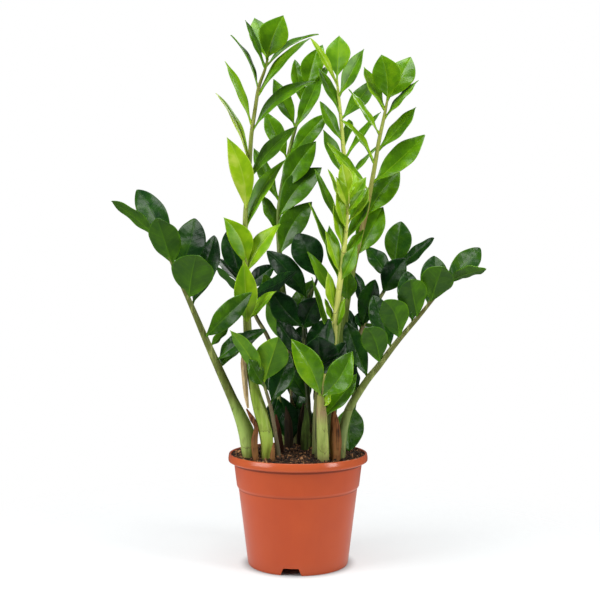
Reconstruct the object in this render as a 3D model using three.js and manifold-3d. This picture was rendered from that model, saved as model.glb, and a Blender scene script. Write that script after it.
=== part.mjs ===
// A ZZ plant (Zamioculcas) in a terracotta-coloured plastic nursery pot.
// Millimetres, +Z up. The origin is on the floor under the middle of the pot; the plant is seen from -Y.
//
// The foliage is drawn on a front elevation, the plane y = 0 as an eye at EYE sees it, and each point is
// then moved along its sight line to its own depth y. So every frond has one table, read in the same way:
//   depth:    y at the buried foot and at the growing tip
//   stem:     [x, z, radius] from the foot to the tip
//   leaflets: [z on the stem, tip x, tip z, tip depth behind (+) or before (-) its root, width, roll, bow]
// Roll 0 turns a leaflet's upper face to the viewer, 90 turns it to the stem and upwards, and 180 shows its
// underside. Bow is how far the rib bends upwards at half its length, as a share of that length.
import * as THREE from "three";
import { mergeVertices } from "three/addons/utils/BufferGeometryUtils.js";
import Module from "manifold-3d";

const wasm = await Module();
wasm.setup();

// ---------------------------------------------------------------- driving dimensions

const POT_HEIGHT = 134;
const RIM_RADIUS = 85;
const FOOT_RADIUS = 61;
const WALL = 1.6;
const FLOOR_Z = 12;
const NOTCH = { count: 3, width: 22, height: 8.8, turn: -97.7 };
const DRAIN = { count: 6, radius: 4.5, circle: 38 };
const GAP = 0.35;

const SOIL_EDGE_Z = 132.2;
const SOIL_CROWN = 5.2;
const SOIL_HEAP = { x: -64, y: 8, height: 10.5, spread: 11 };

const EYE = new THREE.Vector3(2.4, -1145, 320);

const BLADE_THICKNESS = 0.8;
const PETIOLE_WIDTH = 2.4;
const TIP_WIDTH = 0.9;
const BLADE_STATIONS = [0, 0.13, 0.37, 0.72, 1];
const BLADE_START = 0.07;
const STEM_SIDES = 6;
const STEM_BOW = 1.5;

const POT_COLOUR = 0xc25a35;
const SOIL_COLOUR = 0x2b1d14;
const HUSK_COLOUR = 0x6b3f22;
const STRAW_COLOUR = 0xb9a06a;

// Leaf habits: colour, how pointed both ends are, how near the tip the blade is widest, how far its middle
// rises towards the upper face as a share of its length, and how steeply both halves fold up from the rib.
const DARK = { colour: 0x2c5a24, pointed: 0.7, swell: 1.08, arch: 0.05, fold: 0.16 };
const GREEN = { colour: 0x3f7a16, pointed: 0.92, swell: 1.06, arch: 0.05, fold: 0.2 };
const LIME = { colour: 0x74a81e, pointed: 1.06, swell: 1.06, arch: 0.05, fold: 0.22 };

const FRONDS = {
  frond_left: {
    habit: DARK,
    depth: [-30, -80],
    stem: [
      [-55, 100, 6.5],
      [-59, 128, 8.4],
      [-61, 146, 9.6],
      [-64, 161, 9.4],
      [-71, 179, 7.4],
      [-80, 199, 5.7],
      [-94, 230, 5],
      [-112, 270, 4],
      [-133, 319, 3],
      [-152, 361, 2.3],
      [-164, 388, 1.6],
    ],
    leaflets: [
      [236, -68, 280, 25, 24, 30, -0.01],
      [245, -40, 284, -26, 20, 40, 0],
      [262, -82, 292, 12, 18, 120, -0.07],
      [274, -57, 329, -44, 26, 18, -0.01],
      [312, -102, 399, 35, 31, 20, -0.04],
      [320, -124, 375, -45, 49, 180, 0.03],
      [350, -126, 420, 30, 36, 0, -0.04],
      [361, -172, 420, -35, 37, 165, -0.02],
      [374, -197, 455, 40, 32, 12, 0.05],
      [388, -228, 441, -12, 29, 118, -0.01],
    ],
  },
  frond_left_back: {
    habit: DARK,
    depth: [28, 96],
    stem: [
      [-14, 95, 3.2],
      [-17, 140, 3.2],
      [-19, 165, 3],
      [-25, 215, 2.8],
      [-34, 267, 2.7],
      [-51, 299, 2.6],
      [-64, 330, 2.3],
      [-75, 362, 1.6],
      [-80, 378, 1.2],
    ],
    leaflets: [
      [196, -45, 246, 20, 26, 25, 0],
      [206, -8, 149, -10, 32, 15, 0],
      [208, -31, 152, 12, 28, 15, 0],
      [322, -102, 362, -8, 26, 112, -0.07],
      [325, -3, 354, -92, 27, 45, -0.05],
      [335, -30, 362, -10, 24, 20, -0.03],
      [338, -98, 372, 20, 26, 60, -0.07],
      [346, -87, 404, 5, 32, 10, -0.01],
      [374, -68, 412, 8, 22, 20, -0.03],
    ],
  },
  frond_tall_left: {
    habit: LIME,
    depth: [-46, -92],
    stem: [
      [-39, 92, 6],
      [-39.5, 128, 5.8],
      [-38, 142, 7.2],
      [-39.5, 157, 8],
      [-43, 173, 8],
      [-47, 188, 7.8],
      [-51.5, 204, 6.6],
      [-56, 224, 5.4],
      [-60, 250, 5],
      [-62, 290, 4.9],
      [-64, 340, 4],
      [-64, 385, 3.2],
      [-64.5, 422, 2.8],
      [-61.5, 455, 2.6],
      [-59, 490, 2.5],
      [-57, 522, 2.4],
      [-52.5, 553, 2.2],
      [-48, 580, 2],
      [-41, 600, 1.7],
      [-37, 615, 1.3],
    ],
    leaflets: [
      [286, -66, 368, -30, 27, 8, -0.01],
      [294, -27, 331, -22, 22, 52, -0.02],
      [350, -22, 413, -8, 27, 33, 0.03],
      [357, -91, 421, -14, 27, 6, 0.12],
      [402, -16, 491, 12, 26, 48, 0.04],
      [424, -87, 519, -16, 26, 8, 0.07],
      [466, -2, 532, 10, 27, 40, 0.02],
      [484, -100, 573, 10, 19, 65, 0.04],
      [524, 21, 588, -6, 25, 50, 0.06],
      [532, -89, 612, -10, 19, 60, -0.03],
      [568, 14, 640, -6, 23, 50, -0.01],
      [577, -82, 644, 8, 14, 66, 0.02],
      [604, 25, 645, 30, 18, 60, 0.02],
      [603, -64, 662, -26, 15, 60, -0.02],
      [613, -53, 665, 20, 25, 5, -0.01],
      [612, -18, 668, -12, 34, 4, 0.04],
    ],
  },
  frond_tall_back: {
    habit: GREEN,
    depth: [48, 94],
    stem: [
      [-1, 95, 4.4],
      [-2, 140, 4.4],
      [-4, 165, 4],
      [-8, 220, 3.7],
      [-14, 300, 3.6],
      [-20, 345, 3.5],
      [-23, 385, 3.3],
      [-24, 423, 3],
      [-19, 462, 2.8],
      [-11, 500, 2.5],
      [-3, 531, 2.2],
      [5, 558, 1.8],
      [11, 580, 1.3],
    ],
    leaflets: [
      [180, 14, 232, -5, 28, 25, 0],
      [190, 2, 256, 16, 28, 22, 0],
      [212, 12, 152, 20, 28, 15, 0],
      [238, 9, 292, 14, 28, 22, 0],
      [262, -38, 319, -12, 23, 160, -0.03],
      [290, 18, 345, 8, 28, 30, -0.04],
      [300, -42, 352, 4, 28, 25, -0.04],
      [372, 17, 440, 6, 35, 15, 0.07],
      [401, -42, 447, 12, 24, 48, -0.06],
      [418, 29, 482, 4, 36, 12, 0.07],
      [440, -54, 506, -8, 24, 38, -0.05],
      [450, 22, 514, -8, 34, 15, 0.02],
      [490, 36, 548, 4, 26, 20, 0],
      [492, -40, 550, 0, 26, 25, -0.03],
      [528, 28, 598, 4, 24, 25, -0.03],
      [531, -30, 590, 0, 24, 20, -0.01],
      [558, -4, 614, 12, 21, 18, -0.02],
      [564, 37, 606, 16, 22, 30, -0.04],
      [574, 30, 632, 20, 24, 10, -0.01],
      [577, 23, 627, -12, 29, 5, -0.01],
    ],
  },
  frond_tall_middle: {
    habit: LIME,
    depth: [22, 52],
    stem: [
      [34, 95, 6.5],
      [34, 140, 7],
      [36, 170, 5.5],
      [44, 240, 4.5],
      [52, 320, 4],
      [57, 400, 3.4],
      [57.5, 450, 3],
      [56.5, 487, 2.9],
      [54.5, 516, 2.7],
      [52, 546, 2.3],
      [49.5, 570, 2],
      [47.5, 590, 1.4],
    ],
    leaflets: [
      [180, 21, 222, -16, 26, 25, 0],
      [198, 18, 150, 14, 28, 15, 0],
      [312, 12, 379, -30, 23, 52, -0.03],
      [345, 14, 439, -22, 18, 60, -0.05],
      [402, 21, 480, -12, 18, 56, -0.06],
      [420, 84, 452, 10, 18, 60, -0.07],
      [462, 98, 509, 8, 18, 63, -0.04],
      [468, 31, 528, -4, 25, 48, -0.06],
      [491, 101, 550, 6, 19, 60, -0.02],
      [506, 62, 541, 25, 24, 60, -0.09],
      [513, 27, 563, -6, 23, 46, -0.05],
      [541, 93, 590, 6, 26, 32, -0.06],
      [548, 25, 604, 8, 23, 46, -0.04],
      [568, 80.5, 627, -24, 26, 30, -0.04],
      [582, 15, 641, -18, 14, 40, -0.01],
      [589, 50.5, 643, 8, 32, 4, -0.01],
    ],
  },
  frond_tall_right: {
    habit: GREEN,
    depth: [-2, -34],
    stem: [
      [38, 95, 6],
      [38, 138, 6.5],
      [40, 165, 5.2],
      [45, 200, 4.6],
      [52, 250, 4.2],
      [60, 317, 3.8],
      [72, 380, 3.4],
      [82, 422, 3.1],
      [88.5, 455, 2.8],
      [94, 485, 2.6],
      [99, 515, 2.4],
      [105, 543, 2],
      [109.5, 566, 1.4],
    ],
    leaflets: [
      [317, 61, 357, -18, 24, 10, 0],
      [371, 104, 434, 6, 33, 14, 0],
      [419, 124, 479, 22, 33, 14, 0.01],
      [452, 36, 512, -4, 21, 48, -0.04],
      [462, 155, 522, -6, 32, 28, -0.04],
      [484, 52, 541, -10, 18, 60, 0.01],
      [502, 144, 556, -4, 25, 40, -0.05],
      [522, 62, 578, -8, 22, 54, -0.03],
      [541, 147, 589, -4, 20, 60, -0.04],
      [551, 81, 605, 6, 24, 48, -0.05],
      [563, 138, 617, 12, 33, 10, -0.02],
      [564, 102, 620, -12, 35, 2, 0.05],
    ],
  },
  frond_young: {
    habit: LIME,
    depth: [-27, -66],
    stem: [
      [23, 95, 6.5],
      [24, 130, 7],
      [24, 160, 6.5],
      [25, 195, 5.6],
      [28, 224, 4.6],
      [36, 243, 3.9],
      [43, 262, 3.7],
      [45, 290, 3.7],
      [48, 318, 3.6],
      [52, 347, 3.4],
      [56, 380, 3],
      [59, 408, 2.4],
      [61, 438, 1.8],
      [62, 449, 1.2],
    ],
    leaflets: [
      [263, 17, 348, 6, 16, 64, -0.06],
      [284, 57, 322, -8, 15, 45, -0.06],
      [290, 33, 322, -4, 15, 58, -0.07],
      [302, 37, 354, -10, 18, 48, -0.06],
      [340, 38, 411, 18, 20, 30, -0.04],
      [342, 72, 388, -16, 20, 32, -0.04],
      [350, 34, 404, -12, 18, 46, -0.05],
      [372, 80, 406, 6, 17, 50, -0.06],
      [380, 44, 438, -10, 18, 48, -0.06],
      [392, 87, 441, 16, 18, 42, -0.05],
      [406, 47, 452, -14, 16, 42, -0.05],
      [412, 86, 458, 18, 17, 38, -0.05],
      [424, 37, 480, 2, 15, 58, -0.04],
      [427, 82, 457, -16, 14, 32, -0.04],
      [433, 47, 470, -20, 14, 30, -0.02],
      [437, 83, 470, 8, 16, 25, -0.04],
      [444, 68, 478, 20, 14, 10, -0.01],
      [446, 54, 488, -8, 17, 8, -0.01],
    ],
  },
  frond_front_left: {
    habit: GREEN,
    depth: [-40, -66],
    stem: [
      [-22, 98, 2.8],
      [-24, 131, 2.7],
      [-27, 152, 2.5],
      [-32, 182, 2.2],
      [-38, 205, 1.9],
      [-43, 220, 1.6],
    ],
    leaflets: [
      [192, -10, 255, 12, 31, 18, -0.03],
      [214, -60, 248, -14, 22, 30, -0.05],
      [218, -24, 275, -20, 38, 175, -0.01],
      [218, -83, 283, -26, 24, 148, 0],
    ],
  },
  frond_front_middle: {
    habit: GREEN,
    depth: [-56, -68],
    stem: [
      [31, 98, 6],
      [31, 127, 6.8],
      [30, 150, 6.8],
      [29, 175, 6.2],
      [28, 195, 5],
      [27, 204, 3.5],
    ],
    leaflets: [
      [175, 72, 230, 8, 24, 35, -0.05],
      [190, 40, 204, -6, 11, 30, -0.05],
      [200, -8, 272, -30, 30, 12, 0.04],
      [201, 66, 257, -26, 33, 18, -0.09],
    ],
  },
  frond_right: {
    habit: DARK,
    depth: [-36, -80],
    stem: [
      [50, 95, 6.5],
      [51, 130, 7],
      [53, 150, 6.5],
      [57, 170, 5.4],
      [64, 190, 4.8],
      [83, 220, 4.1],
      [99, 240, 3.7],
      [122, 270, 3.1],
      [146, 298, 2.5],
      [160, 315, 2.1],
      [174, 332, 1.7],
      [183, 343, 1.3],
    ],
    leaflets: [
      [205, 66, 246, 20, 20, 50, -0.06],
      [224, 59, 293, 18, 25, 14, -0.02],
      [241, 84, 286, -42, 31, 178, 0.06],
      [260, 92, 326, 24, 29, 10, -0.01],
      [271, 105, 319, -42, 34, 180, 0.1],
      [291, 133, 355, 26, 30, 8, -0.01],
      [298, 137, 345, -42, 35, 178, 0],
      [312, 167, 374, 28, 33, 5, -0.05],
      [317, 177, 361, -42, 37, 178, 0],
      [338, 223, 383, 22, 27, 10, 0],
      [342, 230, 358, -34, 24, 118, -0.02],
    ],
  },
  frond_right_back: {
    habit: DARK,
    depth: [20, 88],
    stem: [
      [58, 95, 5.5],
      [60, 140, 6],
      [64, 172, 4.4],
      [69, 203, 3.6],
      [68, 228, 3.4],
      [70, 252, 3.2],
      [75, 276, 3],
      [84, 298, 2.8],
      [104, 329, 2.4],
      [115, 352, 1.9],
      [119, 362, 1.4],
    ],
    leaflets: [
      [192, 62, 136, -48, 36, 4, 0.04],
      [272, 58, 309, -8, 23, 45, -0.06],
      [280, 94, 292, 14, 22, 68, -0.1],
      [284, 76, 306, 2, 24, 38, -0.07],
      [287, 94, 345, -18, 29, 16, -0.02],
      [300, 66, 357, 8, 23, 48, 0],
      [328, 131, 371, -18, 33, 18, 0.02],
      [345, 84, 384, 8, 28, 22, 0.01],
      [354, 166, 396, -34, 21, 42, -0.03],
      [360, 126, 416, 8, 36, 2, 0],
    ],
  },
  frond_middle: {
    habit: DARK,
    depth: [14, 34],
    stem: [
      [12.5, 95, 5.5],
      [13.5, 138, 6.6],
      [13.5, 152, 6],
      [13, 165, 3.8],
      [12, 200, 3.2],
      [8, 250, 3],
      [8, 290, 2.8],
      [12, 320, 2.4],
      [20, 337, 2],
      [24, 348, 1.4],
    ],
    leaflets: [
      [198, -14, 240, 8, 28, 30, -0.04],
      [216, 34, 258, 12, 28, 30, -0.04],
      [250, -26, 296, -6, 28, 25, -0.03],
      [262, 40, 296, 14, 26, 25, -0.04],
      [284, 27, 323, -34, 33, 15, 0.06],
      [286, -31, 330, 4, 34, 16, -0.06],
      [320, -38, 380, 14, 31, 20, 0.02],
      [346, -1, 401, 14, 40, 5, 0.03],
    ],
  },
  frond_front_short: {
    habit: DARK,
    depth: [-44, -56],
    stem: [
      [24, 98, 3.6],
      [24, 128, 3.8],
      [24.5, 160, 3.5],
      [25.5, 195, 3.2],
      [27, 225, 2.9],
      [28, 240, 2.4],
    ],
    leaflets: [
      [222, 38, 297, 2, 24, 30, -0.03],
      [228, 59, 268, -18, 24, 30, -0.04],
      [236, 25, 275, -30, 44, 8, -0.02],
    ],
  },
};

// Dry scale leaves that stand round the stems' feet, each a pointed husk.
const HUSKS = {
  husk_right: {
    colour: HUSK_COLOUR,
    depth: [-53, -53],
    stem: [
      [46, 100, 4],
      [46, 128, 5.5],
      [46, 145, 7],
      [45.5, 160, 6],
      [44.5, 175, 4],
      [43.5, 184, 2],
      [43, 190, 0.7],
    ],
  },
  husk_left: {
    colour: HUSK_COLOUR,
    depth: [-53, -52],
    stem: [
      [-49, 112, 2.6],
      [-52, 130, 3.4],
      [-53, 148, 3.8],
      [-51, 164, 2.4],
      [-56, 175, 3],
      [-63, 187, 0.8],
    ],
  },
  husk_front: {
    colour: HUSK_COLOUR,
    depth: [-59, -59],
    stem: [
      [-31, 108, 2],
      [-31, 128, 3],
      [-30.5, 136, 2.2],
      [-30, 144, 0.7],
    ],
  },
  husk_back: {
    colour: HUSK_COLOUR,
    depth: [-20, -20],
    stem: [
      [-21, 106, 3],
      [-22, 140, 4.5],
      [-24, 160, 3.5],
      [-27, 180, 0.8],
    ],
  },
  husk_middle: {
    colour: HUSK_COLOUR,
    depth: [-3, -5],
    stem: [
      [8, 106, 3],
      [8.5, 148, 5.2],
      [10, 168, 4.4],
      [10, 182, 2.4],
      [8, 192, 0.7],
    ],
  },
  husk_rear_left: {
    colour: HUSK_COLOUR,
    depth: [18, 20],
    stem: [
      [-11, 106, 3],
      [-11.5, 150, 5.6],
      [-12.5, 172, 4.6],
      [-15, 190, 0.8],
    ],
  },
  husk_rear_right: {
    colour: HUSK_COLOUR,
    depth: [30, 31],
    stem: [
      [3, 106, 3],
      [3.5, 152, 4.8],
      [4.5, 176, 4],
      [7, 194, 0.8],
    ],
  },
  straw_sheath: {
    colour: STRAW_COLOUR,
    depth: [-52, -61],
    stem: [
      [-61, 188, 1.2],
      [-63.2, 203, 2.6],
      [-65.2, 225, 3.2],
      [-66.4, 243, 3.4],
      [-68.4, 253, 0.8],
    ],
  },
};

// ---------------------------------------------------------------- solids

function solidFrom(geometry) {
  const bare = new THREE.BufferGeometry();
  bare.setAttribute("position", geometry.getAttribute("position"));
  bare.setIndex(geometry.getIndex());
  const merged = mergeVertices(bare, 1e-3);
  return new wasm.Manifold(
    new wasm.Mesh({
      numProp: 3,
      vertProperties: merged.attributes.position.array,
      triVerts: merged.index.array,
    }),
  );
}

function meshFrom(solid, name, material) {
  const { numProp, numVert, vertProperties, triVerts } = solid.getMesh();
  const positions = new Float32Array(numVert * 3);
  for (let i = 0; i < numVert; i++) {
    positions.set(vertProperties.subarray(i * numProp, i * numProp + 3), i * 3);
  }
  const geometry = new THREE.BufferGeometry();
  geometry.setAttribute("position", new THREE.BufferAttribute(positions, 3));
  geometry.setIndex(new THREE.BufferAttribute(triVerts, 1));
  geometry.computeVertexNormals();
  const mesh = new THREE.Mesh(geometry, material);
  mesh.name = name;
  return mesh;
}

// Several solids as one body. A pocket that they close between them is filled.
function fuse(solids) {
  const whole = solids.reduce((sum, piece) => sum.add(piece));
  const surfaces = whole.decompose();
  return surfaces.reduce((outer, one) => (one.volume() > outer.volume() ? one : outer));
}

function turned(profile, segments) {
  const points = profile.map(([radius, z]) => new THREE.Vector2(radius, z));
  return new THREE.LatheGeometry(points, segments).rotateX(Math.PI / 2);
}

// ---------------------------------------------------------------- drawing on the elevation

// The real place of a point drawn at (x, z) on the elevation and lying at depth y.
function place(x, y, z) {
  const reach = (y - EYE.y) / -EYE.y;
  return new THREE.Vector3(
    EYE.x + (x - EYE.x) * reach,
    y,
    EYE.z + (z - EYE.z) * reach,
  );
}

// A stem or husk as a smooth path through its table. It leans further and further from its foot's depth,
// and pointAt, radiusAt and depthAt read it at a share t of its rows.
function pathOf({ depth, stem }) {
  const spans = stem.length - 1;
  const drawn = new THREE.CatmullRomCurve3(
    stem.map(([x, z]) => new THREE.Vector3(x, 0, z)),
    false,
    "catmullrom",
    0.5,
  );
  const [lowest, highest] = [stem[0][1], stem[spans][1]];
  const depthOf = (z) => {
    const share = THREE.MathUtils.clamp((z - lowest) / (highest - lowest), 0, 1);
    return THREE.MathUtils.lerp(depth[0], depth[1], share ** STEM_BOW);
  };
  return {
    spans,
    depthAt: (t) => depthOf(drawn.getPoint(t).z),
    pointAt(t) {
      const { x, z } = drawn.getPoint(t);
      return place(x, depthOf(z), z);
    },
    radiusAt(t) {
      const row = Math.min(Math.floor(t * spans), spans - 1);
      return THREE.MathUtils.lerp(stem[row][2], stem[row + 1][2], t * spans - row);
    },
    // Where the path, which only rises, reaches a drawn height.
    reaching(z) {
      let [low, high] = [0, 1];
      for (let step = 0; step < 40; step++) {
        const middle = (low + high) / 2;
        if (drawn.getPoint(middle).z < z) low = middle;
        else high = middle;
      }
      return (low + high) / 2;
    },
  };
}

// A closed cylinder bent along a path, one ring for each row of its table. Swell makes it wider and deeper.
function tube(path, swell = 0) {
  const geometry = new THREE.CylinderGeometry(1, 1, 1, STEM_SIDES, path.spans);
  const positions = geometry.getAttribute("position");
  const acrossX = new THREE.Vector3(1, 0, 0);
  const vertex = new THREE.Vector3();
  for (let i = 0; i < positions.count; i++) {
    vertex.fromBufferAttribute(positions, i);
    const t = vertex.y + 0.5;
    const ahead = path
      .pointAt(Math.min(t + 0.01, 1))
      .sub(path.pointAt(Math.max(t - 0.01, 0)))
      .normalize();
    const side = acrossX.clone().addScaledVector(ahead, -acrossX.dot(ahead));
    side.normalize();
    const front = side.clone().cross(ahead);
    const radius = path.radiusAt(t) + swell;
    const point = path.pointAt(t);
    point.addScaledVector(side, vertex.x * radius);
    point.addScaledVector(front, vertex.z * radius);
    if (t < 1e-6) point.addScaledVector(ahead, -swell);
    positions.setXYZ(i, point.x, point.y, point.z);
  }
  return solidFrom(geometry);
}

// A closed sheet of rows by columns: at(row, column, face) gives a point of its upper (1) or lower (-1)
// face. Both faces are cut into the same triangles, so they stay apart where the sheet waves.
function closedSheet(rows, columns, at) {
  const positions = [];
  const triangles = [];
  const index = (row, column, face) =>
    ((face < 0 ? 1 : 0) * rows + row) * columns + column;
  const quad = (a, b, c, d) => triangles.push(a, b, c, a, c, d);
  for (const face of [1, -1]) {
    for (let row = 0; row < rows; row++) {
      for (let column = 0; column < columns; column++) {
        positions.push(...at(row, column, face).toArray());
      }
    }
  }
  for (let row = 0; row < rows - 1; row++) {
    for (let column = 0; column < columns - 1; column++) {
      const corners = [
        [row, column],
        [row + 1, column],
        [row + 1, column + 1],
        [row, column + 1],
      ];
      const [a, b, c, d] = corners.map(([r, k]) => index(r, k, 1));
      const [e, f, g, h] = corners.map(([r, k]) => index(r, k, -1));
      quad(a, b, c, d);
      triangles.push(e, g, f, e, h, g);
    }
    quad(
      index(row, 0, -1),
      index(row + 1, 0, -1),
      index(row + 1, 0, 1),
      index(row, 0, 1),
    );
    const last = columns - 1;
    quad(
      index(row, last, 1),
      index(row + 1, last, 1),
      index(row + 1, last, -1),
      index(row, last, -1),
    );
  }
  for (let column = 0; column < columns - 1; column++) {
    const end = rows - 1;
    quad(
      index(0, column, 1),
      index(0, column + 1, 1),
      index(0, column + 1, -1),
      index(0, column, -1),
    );
    quad(
      index(end, column, -1),
      index(end, column + 1, -1),
      index(end, column + 1, 1),
      index(end, column, 1),
    );
  }
  const geometry = new THREE.BufferGeometry();
  geometry.setAttribute(
    "position",
    new THREE.Float32BufferAttribute(positions, 3),
  );
  geometry.setIndex(triangles);
  return solidFrom(geometry);
}

// ---------------------------------------------------------------- fronds

// The width of a leaflet's blade at a share u of its length, as a share of its full width.
function outline(u, habit) {
  const share = Math.max((u - BLADE_START) / (1 - BLADE_START), 0);
  return Math.sin(Math.PI * share ** habit.swell) ** habit.pointed;
}

function leaflet(path, habit, [rootZ, tipX, tipZ, tipDepth, width, roll, bow]) {
  const t = path.reaching(rootZ);
  const root = path.pointAt(t);
  const tip = place(tipX, path.depthAt(t) + tipDepth, tipZ);
  const length = root.distanceTo(tip);
  const along = tip.clone().sub(root).normalize();

  // The upper face's normal: towards the viewer at roll 0, turned about the rib by the roll.
  const toViewer = new THREE.Vector3(0, -1, 0);
  toViewer.addScaledVector(along, -toViewer.dot(along)).normalize();
  const upwards = along.clone().cross(toViewer);
  if (upwards.z < 0) upwards.negate();
  const angle = THREE.MathUtils.degToRad(roll);
  const normal = toViewer.clone().multiplyScalar(Math.cos(angle));
  normal.addScaledVector(upwards, Math.sin(angle)).normalize();
  const across = normal.clone().cross(along);

  return closedSheet(BLADE_STATIONS.length, 3, (row, column, face) => {
    const u = BLADE_STATIONS[row];
    const narrowest = u < 0.5 ? PETIOLE_WIDTH : TIP_WIDTH;
    const half = Math.max(narrowest, width * outline(u, habit)) / 2;
    const side = column - 1;
    const bulge = length * 4 * u * (1 - u);
    const lift =
      habit.arch * bulge + habit.fold * half * Math.abs(side) + (face * BLADE_THICKNESS) / 2;
    return root
      .clone()
      .addScaledVector(along, length * u)
      .addScaledVector(upwards, bow * bulge)
      .addScaledVector(across, half * side)
      .addScaledVector(normal, lift);
  });
}

function frond(table) {
  const path = pathOf(table);
  return fuse([tube(path), ...table.leaflets.map((row) => leaflet(path, table.habit, row))]);
}

// ---------------------------------------------------------------- pot and soil

// The pot's inner face from the middle of the floor to the rim, as [radius, z].
const POT_INSIDE = [
  [0, FLOOR_Z],
  [60.6, FLOOR_Z],
  [70.4, 91.5],
  [76.2, 121.5],
  [80.6, 130.5],
  [81.8, POT_HEIGHT],
];

// The outer face from the rim back to the middle of the floor's underside.
const POT_OUTSIDE = [
  [RIM_RADIUS - 0.9, POT_HEIGHT],
  [RIM_RADIUS, POT_HEIGHT - 1.2],
  [RIM_RADIUS, 127],
  [83.8, 124.4],
  [77.8, 121],
  [74.4, 95.5],
  [72.2, 91],
  [FOOT_RADIUS + 1.4, 4],
  [FOOT_RADIUS, 0],
  [FOOT_RADIUS - 2, 0],
  [FOOT_RADIUS - 0.6, FLOOR_Z - WALL],
  [0, FLOOR_Z - WALL],
];

const POT_SEGMENTS = 44;

function notch(turn) {
  const slope = 2;
  const outline = new THREE.Shape();
  outline.moveTo(-NOTCH.width / 2 - slope, -1);
  outline.lineTo(NOTCH.width / 2 + slope, -1);
  outline.lineTo(NOTCH.width / 2 - slope, NOTCH.height);
  outline.lineTo(-NOTCH.width / 2 + slope, NOTCH.height);
  const block = new THREE.ExtrudeGeometry(outline, {
    depth: 12,
    bevelEnabled: false,
  });
  block.rotateX(Math.PI / 2).translate(0, FOOT_RADIUS + 6, 0);
  block.rotateZ(THREE.MathUtils.degToRad(turn - 90));
  return solidFrom(block);
}

function drainHole(turn) {
  const hole = new THREE.CylinderGeometry(DRAIN.radius, DRAIN.radius, 8, 10);
  hole.rotateX(Math.PI / 2).translate(DRAIN.circle, 0, FLOOR_Z - WALL / 2);
  hole.rotateZ(THREE.MathUtils.degToRad(turn));
  return solidFrom(hole);
}

function around(count, make) {
  return Array.from({ length: count }, (_, i) => make((360 / count) * i));
}

function pot() {
  const shell = solidFrom(turned([...POT_OUTSIDE.toReversed(), ...POT_INSIDE.toReversed()], POT_SEGMENTS));
  const cuts = [
    ...around(NOTCH.count, (turn) => notch(turn + NOTCH.turn)),
    ...around(DRAIN.count, drainHole),
  ];
  return cuts.reduce((body, cut) => body.subtract(cut), shell);
}

// The height of the soil: crowned in the middle, heaped beside the left stem, and lumpy.
function soilHeight(x, y) {
  const share = Math.min(Math.hypot(x, y) / 80, 1);
  const heap = SOIL_HEAP.height *
    Math.exp(-((x - SOIL_HEAP.x) ** 2 + (y - SOIL_HEAP.y) ** 2) / (2 * SOIL_HEAP.spread ** 2));
  const lumps = 0.9 * Math.sin(x / 5.1) * Math.sin(y / 4.3) + 0.6 * Math.sin(x / 2.7 + y / 3.9);
  return SOIL_EDGE_Z + SOIL_CROWN * (1 - share ** 2) + (heap + lumps) * (1 - share ** 6);
}

function soil(holes) {
  const wall = POT_INSIDE.slice(0, -1).map(([radius, z]) => [Math.max(radius - GAP, 0), z + GAP]);
  const edge = 80.9 - GAP;
  const top = [1, 0.9, 0.76, 0.6, 0.42, 0.22, 0].map((share) => [edge * share, SOIL_EDGE_Z]);
  const geometry = turned([...wall, ...top], 32);
  const positions = geometry.getAttribute("position");
  for (let i = 0; i < positions.count; i++) {
    if (positions.getZ(i) < SOIL_EDGE_Z - 0.01) continue;
    positions.setZ(i, soilHeight(positions.getX(i), positions.getY(i)));
  }
  return holes.reduce((body, hole) => body.subtract(hole), solidFrom(geometry));
}

// ---------------------------------------------------------------- assembly

function material(colour, roughness) {
  return new THREE.MeshStandardMaterial({ color: colour, roughness, metalness: 0 });
}

const plant = new THREE.Group();
plant.name = "potted_zz_plant";

plant.add(meshFrom(pot(), "pot", material(POT_COLOUR, 0.45)));

const standing = [...Object.values(FRONDS), ...Object.values(HUSKS)].filter(
  ({ stem }) => stem[0][1] < SOIL_EDGE_Z - 5,
);
const holes = standing.map((table) => tube(pathOf(table), GAP));
plant.add(meshFrom(soil(holes), "soil", material(SOIL_COLOUR, 0.95)));

for (const [name, table] of Object.entries(FRONDS)) {
  plant.add(meshFrom(frond(table), name, material(table.habit.colour, 0.4)));
}

for (const [name, table] of Object.entries(HUSKS)) {
  plant.add(meshFrom(tube(pathOf(table)), name, material(table.colour, 0.85)));
}

export default plant;
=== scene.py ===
# %% [markdown]
# # A ZZ plant in a nursery pot
#
# This notebook dresses a plain model of a potted ZZ plant. The plain model holds one solid for the
# pot, one for the soil, one for each leafy stem and one for each dry scale. Here each solid gets a
# finer piece that keeps its place and form: leaves with ribs and a wavy rim, stems that taper and
# swell, lumpy soil with crumbs, and a smooth pot. Nothing here moves a solid, so everything is made
# straight in the model's own frame, in metres, with +Z up and the viewer on the -Y side.

import math

import bmesh
import bpy
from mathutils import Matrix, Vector
from mathutils.noise import noise


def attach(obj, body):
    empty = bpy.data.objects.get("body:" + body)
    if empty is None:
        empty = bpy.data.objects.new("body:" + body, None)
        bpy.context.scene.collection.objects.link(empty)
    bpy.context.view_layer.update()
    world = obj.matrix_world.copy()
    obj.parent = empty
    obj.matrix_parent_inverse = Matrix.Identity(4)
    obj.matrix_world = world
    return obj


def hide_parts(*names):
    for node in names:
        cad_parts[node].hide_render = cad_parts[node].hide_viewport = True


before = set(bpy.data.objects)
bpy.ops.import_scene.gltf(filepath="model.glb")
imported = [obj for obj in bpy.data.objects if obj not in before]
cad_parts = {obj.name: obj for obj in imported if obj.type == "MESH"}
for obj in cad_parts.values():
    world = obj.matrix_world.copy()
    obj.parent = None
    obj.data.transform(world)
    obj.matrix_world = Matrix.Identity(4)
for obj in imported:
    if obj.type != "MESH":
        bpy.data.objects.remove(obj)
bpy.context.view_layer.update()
MM = 0.001


def linked(name, data):
    """A new object that holds the data and is in the scene."""
    made = bpy.data.objects.new(name, data)
    bpy.context.scene.collection.objects.link(made)
    return made


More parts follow.
